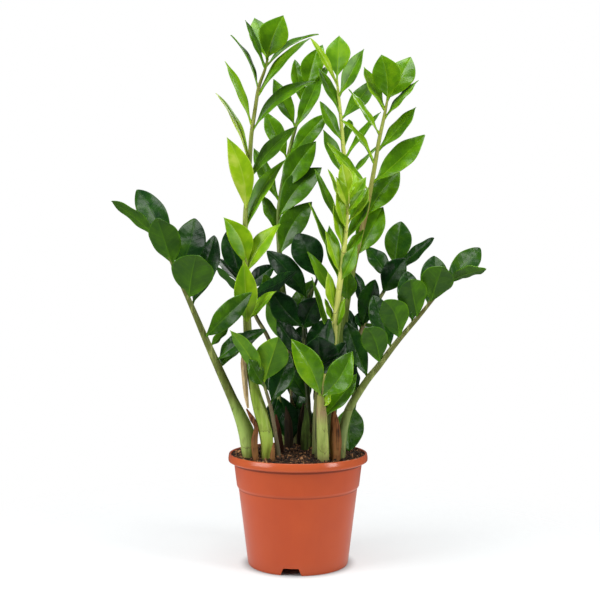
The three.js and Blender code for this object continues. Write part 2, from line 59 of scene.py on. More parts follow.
# %% [markdown]
# ## Camera first
#
# The photograph was taken level with the middle of the plant, from a little over a metre away. The
# rim and the foot of the pot are ellipses in it, and how flat they are gives that distance and height.
# With the camera level, its sensor stays upright and the pot's sides don't converge.

# %% Camera
EYE = Vector((2.4, -1145, 320)) * MM
LENS_MM = 56.2

camera = linked("camera", bpy.data.cameras.new("camera"))
camera.location = EYE
camera.rotation_euler = (math.radians(90), 0, 0)
camera.data.lens = LENS_MM
camera.data.clip_end = 20
bpy.context.scene.camera = camera
print("camera at", tuple(round(v, 3) for v in EYE), "lens", LENS_MM, "mm")

# %% [markdown]
# ## How the foliage is drawn
#
# Leaves overlap in the photograph, so they are easiest to place on a front elevation: the plane
# y = 0, as the eye sees it. Each point is then slid along its own sight line to the depth where it
# really stands. Seen from the camera it stays where it was drawn, and from the side the plant has
# the depth of a real one. Tables are in millimetres, as drawn, and `place` turns them into metres.


# %% From the elevation into the room
def rows(text):
    """The rows of a table, as tuples of numbers."""
    return [tuple(float(number) for number in row.split()) for row in text.split(",")]


def place(x, y, z):
    """The real place of a point drawn at (x, z) on the elevation and lying at depth y, all in mm."""
    reach = (y * MM - EYE.y) / -EYE.y
    return EYE + (Vector((x * MM, 0, z * MM)) - EYE) * reach


# %% [markdown]
# A stem is drawn as a few knots, and the real one bends smoothly between them. `Path` runs a smooth
# curve through the knots, and lets the stem lean backwards or forwards faster the higher it gets, as
# a stem bowing under its leaves does. Roots of leaflets are given by their height, so it also finds
# where the curve reaches a height, by halving.

# %% Paths of stems and scales
STEM_BOW = 1.5
HALVINGS = 40


class Path:
    """A stem or scale as a smooth path through its table, which leans further with its height.

    Its knots are x and z of the table's rows, with one more that carries on past each end.
    """

    def __init__(self, table):
        self.depth = table["depth"]
        self.rows = rows(table["stem"])
        self.spans = len(self.rows) - 1
        knots = [row[:2] for row in self.rows]
        beyond = [[2 * a - b for a, b in zip(knots[k], knots[n])] for k, n in ((0, 1), (-1, -2))]
        self.knots = [beyond[0], *knots, beyond[1]]

    def span(self, t):
        """The row that comes before a share t of the path, and how far t is on from it to the next."""
        row = min(int(t * self.spans), self.spans - 1)
        return row, t * self.spans - row

    def drawn(self, t):
        """x and z on the elevation at a share t of the rows, on a Catmull-Rom curve."""
        row, w = self.span(t)
        point = []
        for a, b, c, d in zip(*self.knots[row : row + 4]):
            v0, v1 = (c - a) / 2, (d - b) / 2
            point.append(b + v0 * w + (3 * (c - b) - 2 * v0 - v1) * w**2 + (2 * (b - c) + v0 + v1) * w**3)
        return point

    def depth_of(self, z):
        lowest, highest = self.rows[0][1], self.rows[-1][1]
        share = min(max((z - lowest) / (highest - lowest), 0), 1)
        return self.depth[0] + (self.depth[1] - self.depth[0]) * share**STEM_BOW

    def point(self, t):
        x, z = self.drawn(t)
        return place(x, self.depth_of(z), z)

    def radius(self, t):
        row, w = self.span(t)
        return (self.rows[row][2] * (1 - w) + self.rows[row + 1][2] * w) * MM

    def reaching(self, z):
        """The share at which the path, which only rises, reaches a drawn height."""
        low, high = 0.0, 1.0
        for _ in range(HALVINGS):
            middle = (low + high) / 2
            if self.drawn(middle)[1] < z:
                low = middle
            else:
                high = middle
        return (low + high) / 2


# %% [markdown]
# ## One table for each leafy stem
#
# Every row was read off the photograph, against a millimetre grid. Commas part the rows.
#
# - depth: y at the buried foot and at the growing tip
# - stem: x, z and radius, from the foot to the tip
# - leaflets: height on the stem, x and z of the leaflet's tip, the tip's depth behind (+) or before
#   (-) its root, width, roll, bow and tone. Roll 0 turns the glossy upper face to the viewer, 180
#   the matte underside, and 60 to 75 shows a leaflet nearly edge on. Bow is how far the rib bends
#   upwards at half the leaflet's length, as a share of that length. Tone is how pale it is. The
#   leaflets of one frond differ more in tone than the fronds do, partly in their own colour and
#   partly as painted light and shade: those that face the light are painted lime, those behind them
#   deep green. 0 is nearly black green, 0.5 a fresh mid green and 1 the palest lime.

# %% The leafy stems
FRONDS = {
    "frond_left": {
        "habit": "dark",
        "depth": (-30, -80),
        "stem": """
        -55 100 6.5, -59 128 8.4, -61 146 9.6, -64 161 9.4, -71 179 7.4, -80 199 5.7, -94 230 5, -112 270 4,
        -133 319 3, -152 361 2.3, -164 388 1.6
        """,
        "leaflets": """
        236 -68 280 25 24 30 -.01 .3, 245 -40 284 -26 20 40 0 .22, 262 -82 292 12 18 120 -.07 .42,
        274 -57 329 -44 26 18 -.01 .34, 312 -102 399 35 31 20 -.04 .14, 320 -124 375 -45 49 180 .03 .38,
        350 -126 420 30 36 0 -.04 .2, 361 -172 420 -35 37 165 -.02 .34, 374 -197 455 40 32 12 .05 .2,
        388 -228 441 -12 29 118 -.01 .4
        """,
    },
    "frond_left_back": {
        "habit": "dark",
        "depth": (28, 96),
        "stem": """
        -14 95 3.2, -17 140 3.2, -19 165 3, -25 215 2.8, -34 267 2.7, -51 299 2.6, -64 330 2.3, -75 362 1.6,
        -80 378 1.2
        """,
        "leaflets": """
        196 -45 246 20 26 25 0 .08, 206 -8 149 -10 32 15 0 .05, 208 -31 152 12 28 15 0 .03,
        322 -102 362 -8 26 112 -.07 .2, 325 -3 354 -92 27 45 -.05 .06, 335 -30 362 -10 24 20 -.03 .06,
        338 -98 372 20 26 60 -.07 .2, 346 -87 404 5 32 10 -.01 .12, 374 -68 412 8 22 20 -.03 .12
        """,
    },
    "frond_tall_left": {
        "habit": "lime",
        "depth": (-46, -92),
        "stem": """
        -39 92 6, -39.5 128 5.8, -38 142 7.2, -39.5 157 8, -43 173 8, -47 188 7.8, -51.5 204 6.6,
        -56 224 5.4, -60 250 5, -62 290 4.9, -64 340 4, -64 385 3.2, -64.5 422 2.8, -61.5 455 2.6,
        -59 490 2.5, -57 522 2.4, -52.5 553 2.2, -48 580 2, -41 600 1.7, -37 615 1.3
        """,
        "leaflets": """
        286 -66 368 -30 27 8 -.01 .76, 294 -27 331 -22 22 52 -.02 .7, 350 -22 413 -8 27 33 .03 .76,
        357 -91 421 -14 27 6 .12 .72, 402 -16 491 12 26 48 .04 .58, 424 -87 519 -16 26 8 .07 .88,
        466 -2 532 10 27 40 .02 .46, 484 -100 573 10 19 65 .04 .86, 524 21 588 -6 25 50 .06 .46,
        532 -89 612 -10 19 60 -.03 .68, 568 14 640 -6 23 50 -.01 .58, 577 -82 644 8 14 66 .02 .44,
        604 25 645 30 18 60 .02 .5, 603 -64 662 -26 15 60 -.02 .42, 613 -53 665 20 25 5 -.01 .58,
        612 -18 668 -12 34 4 .04 .6
        """,
    },
    "frond_tall_back": {
        "habit": "green",
        "depth": (48, 94),
        "stem": """
        -1 95 4.4, -2 140 4.4, -4 165 4, -8 220 3.7, -14 300 3.6, -20 345 3.5, -23 385 3.3, -24 423 3,
        -19 462 2.8, -11 500 2.5, -3 531 2.2, 5 558 1.8, 11 580 1.3
        """,
        "leaflets": """
        180 14 232 -5 28 25 0 .06, 190 2 256 16 28 22 0 .08, 212 12 152 20 28 15 0 .03,
        238 9 292 14 28 22 0 .06, 262 -38 319 -12 23 160 -.03 .5, 290 18 345 8 28 30 -.04 .36,
        300 -42 352 4 28 25 -.04 .36, 372 17 440 6 35 15 .07 .38, 401 -42 447 12 24 48 -.06 .46,
        418 29 482 4 36 12 .07 .42, 440 -54 506 -8 24 38 -.05 .5, 450 22 514 -8 34 15 .02 .48,
        490 36 548 4 26 20 0 .5, 492 -40 550 0 26 25 -.03 .56, 528 28 598 4 24 25 -.03 .48,
        531 -30 590 0 24 20 -.01 .5, 558 -4 614 12 21 18 -.02 .56, 564 37 606 16 22 30 -.04 .5,
        574 30 632 20 24 10 -.01 .56, 577 23 627 -12 29 5 -.01 .56
        """,
    },
    "frond_tall_middle": {
        "habit": "lime",
        "depth": (22, 52),
        "stem": """
        34 95 6.5, 34 140 7, 36 170 5.5, 44 240 4.5, 52 320 4, 57 400 3.4, 57.5 450 3, 56.5 487 2.9,
        54.5 516 2.7, 52 546 2.3, 49.5 570 2, 47.5 590 1.4
        """,
        "leaflets": """
        180 21 222 -16 26 25 0 .06, 198 18 150 14 28 15 0 .04, 312 12 379 -30 23 52 -.03 .62,
        345 14 439 -22 18 60 -.05 .6, 402 21 480 -12 18 56 -.06 .56, 420 84 452 10 18 60 -.07 .64,
        462 98 509 8 18 63 -.04 .56, 468 31 528 -4 25 48 -.06 .52, 491 101 550 6 19 60 -.02 .54,
        506 62 541 25 24 60 -.09 .5, 513 27 563 -6 23 46 -.05 .54, 541 93 590 6 26 32 -.06 .48,
        548 25 604 8 23 46 -.04 .52, 568 80.5 627 -24 26 30 -.04 .58, 582 15 641 -18 14 40 -.01 .8,
        589 50.5 643 8 32 4 -.01 .62
        """,
    },
    "frond_tall_right": {
        "habit": "green",
        "depth": (-2, -34),
        "stem": """
        38 95 6, 38 138 6.5, 40 165 5.2, 45 200 4.6, 52 250 4.2, 60 317 3.8, 72 380 3.4, 82 422 3.1,
        88.5 455 2.8, 94 485 2.6, 99 515 2.4, 105 543 2, 109.5 566 1.4
        """,
        "leaflets": """
        317 61 357 -18 24 10 0 .5, 371 104 434 6 33 14 0 .54, 419 124 479 22 33 14 .01 .48,
        452 36 512 -4 21 48 -.04 .72, 462 155 522 -6 32 28 -.04 .56, 484 52 541 -10 18 60 .01 .7,
        502 144 556 -4 25 40 -.05 .56, 522 62 578 -8 22 54 -.03 .68, 541 147 589 -4 20 60 -.04 .6,
        551 81 605 6 24 48 -.05 .66, 563 138 617 12 33 10 -.02 .62, 564 102 620 -12 35 2 .05 .6
        """,
    },
    "frond_young": {
        "habit": "lime",
        "depth": (-27, -66),
        "stem": """
        23 95 6.5, 24 130 7, 24 160 6.5, 25 195 5.6, 28 224 4.6, 36 243 3.9, 43 262 3.7, 45 290 3.7,
        48 318 3.6, 52 347 3.4, 56 380 3, 59 408 2.4, 61 438 1.8, 62 449 1.2
        """,
        "leaflets": """
        263 17 348 6 16 64 -.06 .6, 284 57 322 -8 15 45 -.06 .68, 290 33 322 -4 15 58 -.07 .78,
        302 37 354 -10 18 48 -.06 .84, 340 38 411 18 20 30 -.04 .54, 342 72 388 -16 20 32 -.04 .6,
        350 34 404 -12 18 46 -.05 .78, 372 80 406 6 17 50 -.06 .6, 380 44 438 -10 18 48 -.06 .8,
        392 87 441 16 18 42 -.05 .54, 406 47 452 -14 16 42 -.05 .82, 412 86 458 18 17 38 -.05 .68,
        424 37 480 2 15 58 -.04 .8, 427 82 457 -16 14 32 -.04 .7, 433 47 470 -20 14 30 -.02 .84,
        437 83 470 8 16 25 -.04 .7, 444 68 478 20 14 10 -.01 .76, 446 54 488 -8 17 8 -.01 .84
        """,
    },
    "frond_front_left": {
        "habit": "green",
        "depth": (-40, -66),
        "stem": "-22 98 2.8, -24 131 2.7, -27 152 2.5, -32 182 2.2, -38 205 1.9, -43 220 1.6",
        "leaflets": """
        192 -10 255 12 31 18 -.03 .18, 214 -60 248 -14 22 30 -.05 .34, 218 -24 275 -20 38 175 -.01 .62,
        218 -83 283 -26 24 148 0 .6
        """,
    },
    "frond_front_middle": {
        "habit": "green",
        "depth": (-56, -68),
        "stem": "31 98 6, 31 127 6.8, 30 150 6.8, 29 175 6.2, 28 195 5, 27 204 3.5",
        "leaflets": """
        175 72 230 8 24 35 -.05 .46, 190 40 204 -6 11 30 -.05 .85, 200 -8 272 -30 30 12 .04 .6,
        201 66 257 -26 33 18 -.09 .52
        """,
    },
    "frond_right": {
        "habit": "dark",
        "depth": (-36, -80),
        "stem": """
        50 95 6.5, 51 130 7, 53 150 6.5, 57 170 5.4, 64 190 4.8, 83 220 4.1, 99 240 3.7, 122 270 3.1,
        146 298 2.5, 160 315 2.1, 174 332 1.7, 183 343 1.3
        """,
        "leaflets": """
        205 66 246 20 20 50 -.06 .16, 224 59 293 18 25 14 -.02 .2, 241 84 286 -42 31 178 .06 .38,
        260 92 326 24 29 10 -.01 .2, 271 105 319 -42 34 180 .1 .4, 291 133 355 26 30 8 -.01 .22,
        298 137 345 -42 35 178 0 .38, 312 167 374 28 33 5 -.05 .28, 317 177 361 -42 37 178 0 .38,
        338 223 383 22 27 10 0 .28, 342 230 358 -34 24 118 -.02 .42
        """,
    },
    "frond_right_back": {
        "habit": "dark",
        "depth": (20, 88),
        "stem": """
        58 95 5.5, 60 140 6, 64 172 4.4, 69 203 3.6, 68 228 3.4, 70 252 3.2, 75 276 3, 84 298 2.8,
        104 329 2.4, 115 352 1.9, 119 362 1.4
        """,
        "leaflets": """
        192 62 136 -48 36 4 .04 .34, 272 58 309 -8 23 45 -.06 .06, 280 94 292 14 22 68 -.1 .28,
        284 76 306 2 24 38 -.07 .16, 287 94 345 -18 29 16 -.02 .12, 300 66 357 8 23 48 0 .1,
        328 131 371 -18 33 18 .02 .14, 345 84 384 8 28 22 .01 .22, 354 166 396 -34 21 42 -.03 .2,
        360 126 416 8 36 2 0 .32
        """,
    },
    "frond_middle": {
        "habit": "dark",
        "depth": (14, 34),
        "stem": """
        12.5 95 5.5, 13.5 138 6.6, 13.5 152 6, 13 165 3.8, 12 200 3.2, 8 250 3, 8 290 2.8, 12 320 2.4,
        20 337 2, 24 348 1.4
        """,
        "leaflets": """
        198 -14 240 8 28 30 -.04 .2, 216 34 258 12 28 30 -.04 .1, 250 -26 296 -6 28 25 -.03 .08,
        262 40 296 14 26 25 -.04 .1, 284 27 323 -34 33 15 .06 .06, 286 -31 330 4 34 16 -.06 .1,
        320 -38 380 14 31 20 .02 .1, 346 -1 401 14 40 5 .03 .08
        """,
    },
    "frond_front_short": {
        "habit": "dark",
        "depth": (-44, -56),
        "stem": "24 98 3.6, 24 128 3.8, 24.5 160 3.5, 25.5 195 3.2, 27 225 2.9, 28 240 2.4",
        "leaflets": """
        222 38 297 2 24 30 -.03 .1, 228 59 268 -18 24 30 -.04 .1, 236 25 275 -30 44 8 -.02 .06
        """,
    },
}

HUSKS = {
    "husk_right": {
        "depth": (-53, -53),
        "stem": "46 100 4, 46 128 5.5, 46 145 7, 45.5 160 6, 44.5 175 4, 43.5 184 2, 43 190 .7",
    },
    "husk_left": {
        "depth": (-53, -52),
        "stem": "-49 112 2.6, -52 130 3.4, -53 148 3.8, -51 164 2.4, -56 175 3, -63 187 .8",
    },
    "husk_front": {"depth": (-59, -59), "stem": "-31 108 2, -31 128 3, -30.5 136 2.2, -30 144 .7"},
    "husk_back": {"depth": (-20, -20), "stem": "-21 106 3, -22 140 4.5, -24 160 3.5, -27 180 .8"},
    "husk_middle": {"depth": (-3, -5), "stem": "8 106 3, 8.5 148 5.2, 10 168 4.4, 10 182 2.4, 8 192 .7"},
    "husk_rear_left": {"depth": (18, 20), "stem": "-11 106 3, -11.5 150 5.6, -12.5 172 4.6, -15 190 .8"},
    "husk_rear_right": {"depth": (30, 31), "stem": "3 106 3, 3.5 152 4.8, 4.5 176 4, 7 194 .8"},
    "straw_sheath": {
        "depth": (-52, -61),
        "stem": "-61 188 1.2, -63.2 203 2.6, -65.2 225 3.2, -66.4 243 3.4, -68.4 253 .8",
    },
}
print(len(FRONDS), "leafy stems and", len(HUSKS), "dry scales")

# %% [markdown]
# ## Node trees as sums
#
# Both the shapes and the finishes below are node trees. Written socket by socket they are hard to
# read, so one small class wraps a socket and lets Python's own operators add the Math nodes. A sum
# of two wires is then one node, and an outline or a colour mask reads as the formula it is.


# %% Wires and trees
class Wire:
    """An output socket. Its sums and products add nodes to its tree, Vector Math where it is a vector."""

    def __init__(self, tree, socket):
        self.tree = tree
        self.socket = socket
        self.vector = socket.type in ("VECTOR", "RGBA")

    def call(self, operation, *others):
        return self.tree.math(operation, self, *others)

    def __add__(self, other):
        return self.call("ADD", other)

    def __radd__(self, other):
        return self.tree.math("ADD", other, self)

    def __sub__(self, other):
        return self.call("SUBTRACT", other)

    def __rsub__(self, other):
        return self.tree.math("SUBTRACT", other, self)

    def __mul__(self, other):
        if self.vector:
            return self.tree.node("ShaderNodeVectorMath", {0: self, "Scale": other}, operation="SCALE")
        return self.call("MULTIPLY", other)

    def __truediv__(self, other):
        return self.call("DIVIDE", other)

    def __pow__(self, other):
        return self.call("POWER", other)

    def ramp(self, low, high):
        """0 below low, 1 above high and smooth between them."""
        ends = {"Value": self, "From Min": low, "From Max": high}
        return self.tree.node("ShaderNodeMapRange", ends, interpolation_type="SMOOTHSTEP")


class Tree:
    """A node tree that is built in order."""

    def __init__(self, group):
        self.group = group

    def node(self, kind, inputs=None, out=0, **settings):
        """Adds a node with its settings and inputs, and returns one of its outputs."""
        made = self.group.nodes.new(kind)
        for name, value in settings.items():
            setattr(made, name, value)
        for key, value in (inputs or {}).items():
            socket = self.find(made.inputs, key)
            if isinstance(value, Wire):
                self.group.links.new(value.socket, socket)
            else:
                socket.default_value = value
        return Wire(self, self.find(made.outputs, out))

    def find(self, sockets, key):
        """The socket with this name or number among those that the node's settings leave on."""
        if isinstance(key, int):
            return [s for s in sockets if s.enabled][key]
        return next(s for s in sockets if s.name == key and s.enabled)

    def math(self, operation, *values):
        vector = any(isinstance(v, Wire) and v.vector for v in values)
        kind = "ShaderNodeVectorMath" if vector else "ShaderNodeMath"
        return self.node(kind, dict(enumerate(values)), operation=operation)


# %% [markdown]
# ## One leaflet as a formula
#
# A ZZ plant's leaflets are all one kind of shape: a short round stalk, an oval blade with a drawn
# out point, a crease along the midrib, and a rim that waves a little. That could be sculpted once
# and copied, but copies look alike. Instead the blade starts as a flat pad whose points only know
# their share along it (u), their share across it (v) and their face (s). Geometry Nodes put one pad
# on each leaflet's root and a formula bends each one with its own length, width, arch and twist.
#
# The pad has more rows near its ends, and more columns beside the midrib and the rim, where the
# real leaf bends most.

# %% The flat pad
PAD_ROWS = 36
CROWDED, EVEN = 0.55, 0.45
PAD_COLUMNS = (0, 0.035, 0.09, 0.2, 0.36, 0.54, 0.71, 0.86, 0.96)


def set_attribute(mesh, name, values):
    """Gives each point of a mesh its own number or vector."""
    kind, field = ("FLOAT_VECTOR", "vector") if isinstance(values[0], Vector) else ("FLOAT", "value")
    if field == "vector":
        values = [part for vector in values for part in vector]
    mesh.attributes.new(name, kind, "POINT").data.foreach_set(field, values)


def quads(rings):
    """The faces between each ring of points and the next."""
    faces = []
    for lower, upper in zip(rings, rings[1:]):
        for k, start in enumerate(lower):
            n = (k + 1) % len(lower)
            faces.append((start, upper[k], upper[n], lower[n]))
    return faces


def pad_mesh():
    across = [-v for v in reversed(PAD_COLUMNS[1:])] + list(PAD_COLUMNS)
    points = []
    rings = []
    for row in range(PAD_ROWS + 1):
        u = CROWDED * (0.5 - 0.5 * math.cos(math.pi * row / PAD_ROWS)) + EVEN * row / PAD_ROWS
        ring = [(u, -1.0, 0.0)] + [(u, v, 1.0) for v in across] + [(u, 1.0, 0.0)]
        ring += [(u, v, -1.0) for v in reversed(across)]
        rings.append(range(len(points), len(points) + len(ring)))
        points += ring
    faces = [*quads(rings), tuple(rings[0]), tuple(rings[-1][::-1])]
    mesh = bpy.data.meshes.new("leaflet_pad")
    mesh.from_pydata(points, [], faces)
    for name, values in zip("uvs", zip(*points)):
        set_attribute(mesh, name, values)
    return mesh


pad = bpy.data.objects.new("leaflet_pad", pad_mesh())
print("leaflet pad:", len(pad.data.polygons), "faces")


# %% [markdown]
# ## The tree that grows leaflets
#
# The tree's inputs are sizes that a gardener could name. Each leaflet's own numbers arrive as
# attributes on its root point, and Random Value, with a fixed seed, adds a little chance to its
# arch, fold, waves, twist and bend. Realize Instances hands them all down to every point of its
# blade, and Set Position then reads them back and does the bending.


# %% Helpers for geometry trees
KINDS = {int: "Int", float: "Float"}


def new_group(name, sockets):
    """A tree with named inputs, {name: default value or else kind}, and the wires that they start."""
    group = bpy.data.node_groups.new(name, "GeometryNodeTree")
    group.interface.new_socket("Geometry", in_out="OUTPUT", socket_type="NodeSocketGeometry")
    for key, value in {"Geometry": "Geometry", **sockets}.items():
        kind = "NodeSocket" + KINDS.get(type(value), value)
        socket = group.interface.new_socket(key, in_out="INPUT", socket_type=kind)
        if type(value) in KINDS:
            socket.default_value = value
    tree = Tree(group)
    source = group.nodes.new("NodeGroupInput")
    return tree, {s.name: Wire(tree, s) for s in source.outputs if s.name}


def end_tree(tree, geometry, finish, smooth):
    """Gives the geometry its shading and finish and sends it out."""
    geometry = tree.node("GeometryNodeSetShadeSmooth", {0: geometry, "Shade Smooth": smooth})
    geometry = tree.node("GeometryNodeSetMaterial", {"Geometry": geometry, "Material": finish})
    sink = tree.group.nodes.new("NodeGroupOutput")
    tree.group.links.new(geometry.socket, sink.inputs[0])
    return tree.group


def attributes(tree, *names, kind="FLOAT"):
    """Wires that read the geometry's attributes."""
    reader = "GeometryNodeInputNamedAttribute"
    return [tree.node(reader, {"Name": name}, data_type=kind) for name in names]


def store(tree, geometry, name, value, kind="FLOAT"):
    inputs = {"Geometry": geometry, "Name": name, "Value": value}
    return tree.node("GeometryNodeStoreNamedAttribute", inputs, data_type=kind)


def instance(tree, shown):
    """The instance of an object, to be set on points."""
    inputs = {"Object": shown, "As Instance": True}
    return tree.node("GeometryNodeObjectInfo", inputs, out="Geometry")


def chance(tree, seed, low, high, kind="FLOAT"):
    """A random value for each point."""
    return tree.node("FunctionNodeRandomValue", {"Min": low, "Max": high, "Seed": seed}, data_type=kind)


# %% [markdown]
# The formula has a few sizes that all leaflets share. Gaps, widths and lifts are in metres, starts
# and tapers are shares, and waves are in radians over the blade's length and half its width.

# %% Leaflet tree
BLADE_START = 0.07
STALK_TAPER = 0.7
STALK_FLATNESS = 0.85
VEIN_GAP = 0.007
VEIN_SLANT = 0.75
CREASE_ROUNDING = 0.01
CUPPING = -0.1
WAVES_ALONG, WAVES_ACROSS = 17.0, 1.3
GROOVE_WIDTH, GROOVE_LIFT = 0.0009, -0.00035
RIB_TAPER, RIB_LIFT = 0.8, -0.0006
FULL_TURN = 2 * math.pi

# The ends between which chance draws each leaflet's own numbers.
CHANCES = {
    "arch": (0.7, 1.3),
    "fold": (0.7, 1.8),
    "phase": (0.0, 6.28),
    "twist": (-0.2, 0.2),
    "bend": (-0.012, 0.012),
    # Painted light: how much one half of a blade is painted lighter than the other.
    "halves": (-1.0, 1.0),
}


def leaflet_tree():
    sockets = {"Pad": "Object", "Finish": "Material", "Seed": 1, "Pointed": 0.9, "Swell": 1.06}
    sockets |= {"Arch": 0.05, "Fold": 0.2, "Wave": 0.0006, "Pucker": 0.0001}
    sockets |= {"Blade thickness": 0.0007, "Stalk width": 0.0026}
    tree, given = new_group("leaflets", sockets)
    here = tree.node("GeometryNodeInputPosition")
    roots = store(tree, given["Geometry"], "root", here, "FLOAT_VECTOR")
    for salt, (name, ends) in enumerate(CHANCES.items(), 1):
        roots = store(tree, roots, name, chance(tree, given["Seed"] + salt, *ends))

    inputs = {"Points": roots, "Instance": instance(tree, given["Pad"])}
    blades = tree.node("GeometryNodeInstanceOnPoints", inputs)
    blades = tree.node("GeometryNodeRealizeInstances", {"Geometry": blades})
    u, v, s, length, width = attributes(tree, "u", "v", "s", "length", "width")
    arch, fold, phase, twist, bend = attributes(tree, "arch", "fold", "phase", "twist", "bend")
    vectors = attributes(tree, "root", "along", "across", "up", "bow", kind="FLOAT_VECTOR")
    root, along, across, up, bow = vectors

    # The outline: a stalk up to BLADE_START, then an oval that ends in a point.
    share = tree.node("ShaderNodeClamp", {0: (u - BLADE_START) / (1 - BLADE_START)})
    oval = ((share ** given["Swell"]) * math.pi).call("SINE").call("MAXIMUM", 0.0) ** given["Pointed"]
    blade_half = oval * width * 0.5
    stalk_half = given["Stalk width"] * 0.5 * (1 - u.ramp(0.0, 0.5) * STALK_TAPER)
    half = blade_half.call("MAXIMUM", stalk_half)
    bladed = share.ramp(0.0, 0.12)

    # Across the blade: a rounded crease, a rim that waves, dents along the side veins, a thin groove
    # on the midrib above and a rib below.
    crease = (v * v + CREASE_ROUNDING).call("SQRT") * half * (given["Fold"] * fold)
    cupped = v * v * half * CUPPING
    wave = (u * WAVES_ALONG + phase + v * WAVES_ACROSS).call("SINE") * (v * v) * given["Wave"]
    rim_share = v.call("ABSOLUTE")
    slant = (u * length - rim_share * half * VEIN_SLANT) / VEIN_GAP
    dents = (slant * FULL_TURN + phase).call("SINE")
    pucker = dents * rim_share * (1 - rim_share) * 4.0 * bladed * given["Pucker"]
    groove_at = (v * half / GROOVE_WIDTH) ** 2.0
    groove = (groove_at * -1.0).call("EXPONENT") * bladed * GROOVE_LIFT
    thickness = stalk_half * (1 - bladed) * STALK_FLATNESS + given["Blade thickness"] * 0.5 * bladed
    rib_below = (groove_at * -0.5).call("EXPONENT") * (1 - u * RIB_TAPER) * bladed * RIB_LIFT
    rib_below = rib_below * (s * -1.0).call("MAXIMUM", 0.0)
    lift = crease + cupped + wave + pucker + groove + rib_below + s * thickness

    # Along the blade: the arch, the bow, a slight sideways bend and a slow twist round the rib.
    hump = u * (1 - u) * 4.0
    turn = twist * u
    cosine, sine = turn.call("COSINE"), turn.call("SINE")
    side = across * cosine + up * sine
    face = up * cosine - across * sine
    position = root + along * (length * u) + up * (given["Arch"] * arch * length * hump)
    position = position + bow * (length * hump) + across * (bend * length * hump)
    position = position + side * (v * half) + face * lift
    grown = tree.node("GeometryNodeSetPosition", {"Geometry": blades, "Position": position})
    grown = store(tree, grown, "from_rib", (v * half).call("ABSOLUTE"))
    grown = store(tree, grown, "from_root", u * length)
    grown = store(tree, grown, "side", s)
    return end_tree(tree, grown, given["Finish"], True)


LEAFLETS = leaflet_tree()
print("leaflet tree:", len(LEAFLETS.nodes), "nodes")

# %% [markdown]
# ## The tree that sweeps stems
#
# A stem is a circle swept along its path, wider where the path's radius says so. Curve to Mesh does
# just that. The tree keeps the path's own place, the share round the stem and the length along it as
# attributes, so that it can push ridges out of the dry scales, which wander a little on their way up.

# %% Stem tree
WANDER_PER_METRE, WANDER = 130.0, 0.5


def stem_tree():
    sockets = {"Finish": "Material", "Sides": 24, "Step": 0.003, "Ridge": 0.0, "Ridges": 7.0}
    tree, given = new_group("stem", sockets)
    here = tree.node("GeometryNodeInputPosition")
    inputs = {"Curve": given["Geometry"], "Length": given["Step"]}
    path = tree.node("GeometryNodeResampleCurve", inputs, mode="LENGTH")
    path = store(tree, path, "along", tree.node("GeometryNodeSplineParameter", out="Length"))
    path = store(tree, path, "middle", here, "FLOAT_VECTOR")
    ring = tree.node("GeometryNodeCurvePrimitiveCircle", {"Resolution": given["Sides"], "Radius": 1.0})
    ring = store(tree, ring, "round", tree.node("GeometryNodeSplineParameter", out="Factor"))
    inputs = {"Curve": path, "Profile Curve": ring, "Fill Caps": True}
    inputs["Scale"] = tree.node("GeometryNodeInputRadius")
    swept = tree.node("GeometryNodeCurveToMesh", inputs)
    along, share_round = attributes(tree, "along", "round")
    (middle,) = attributes(tree, "middle", kind="FLOAT_VECTOR")
    outward = here - middle
    wander = (along * WANDER_PER_METRE).call("SINE") * WANDER
    ridge = (share_round * FULL_TURN * given["Ridges"] + wander).call("SINE") * given["Ridge"]
    swept = tree.node("GeometryNodeSetPosition", {"Geometry": swept, "Offset": outward * ridge})
    return end_tree(tree, swept, given["Finish"], True)


STEMS = stem_tree()
print("stem tree:", len(STEMS.nodes), "nodes")

# %% [markdown]
# ## Turning a tree's result into a plain mesh
#
# A modifier's inputs are set by socket identifier, before the object is first evaluated. Its result
# is then taken as a plain mesh at the origin, and the modifier goes.


# %% Bake a geometry tree
def evaluated_mesh(source):
    """What an object's modifiers make of it, as a mesh of its own."""
    graph = bpy.context.evaluated_depsgraph_get()
    return bpy.data.meshes.new_from_object(source.evaluated_get(graph))


def baked(name, data, group, inputs):
    """What a geometry tree makes of the data, as a plain object."""
    source = linked(name + "_source", data)
    modifier = source.modifiers.new(name, "NODES")
    modifier.node_group = group
    ids = {item.name: item.identifier for item in group.interface.items_tree if item.in_out == "INPUT"}
    for key, value in inputs.items():
        modifier[ids[key]] = value
    mesh = evaluated_mesh(source)
    mesh.name = name
    bpy.data.objects.remove(source)
    return linked(name, mesh)


def joined(name, pieces):
    """Several meshes as one object, with each part's materials kept."""
    chosen = {"selected_editable_objects": pieces, "selected_objects": pieces}
    with bpy.context.temp_override(active_object=pieces[0], object=pieces[0], **chosen):
        bpy.ops.object.join()
    pieces[0].name = name
    pieces[0].data.name = name
    return pieces[0]


# %% [markdown]
# ## Finishes
#
# Each finish is a Principled shader whose colour, roughness and bump vary over the surface. A Look
# is the tree of one, with the few kinds of node that all of them are made of.


# %% A finish and its helpers
def linear(red, green, blue):
    """A colour read as 0 to 255 on screen, as the linear values that Blender mixes."""
    shares = [c / 255 for c in (red, green, blue)]
    return tuple(((c + 0.055) / 1.055) ** 2.4 if c > 0.04 else c / 12.92 for c in shares)


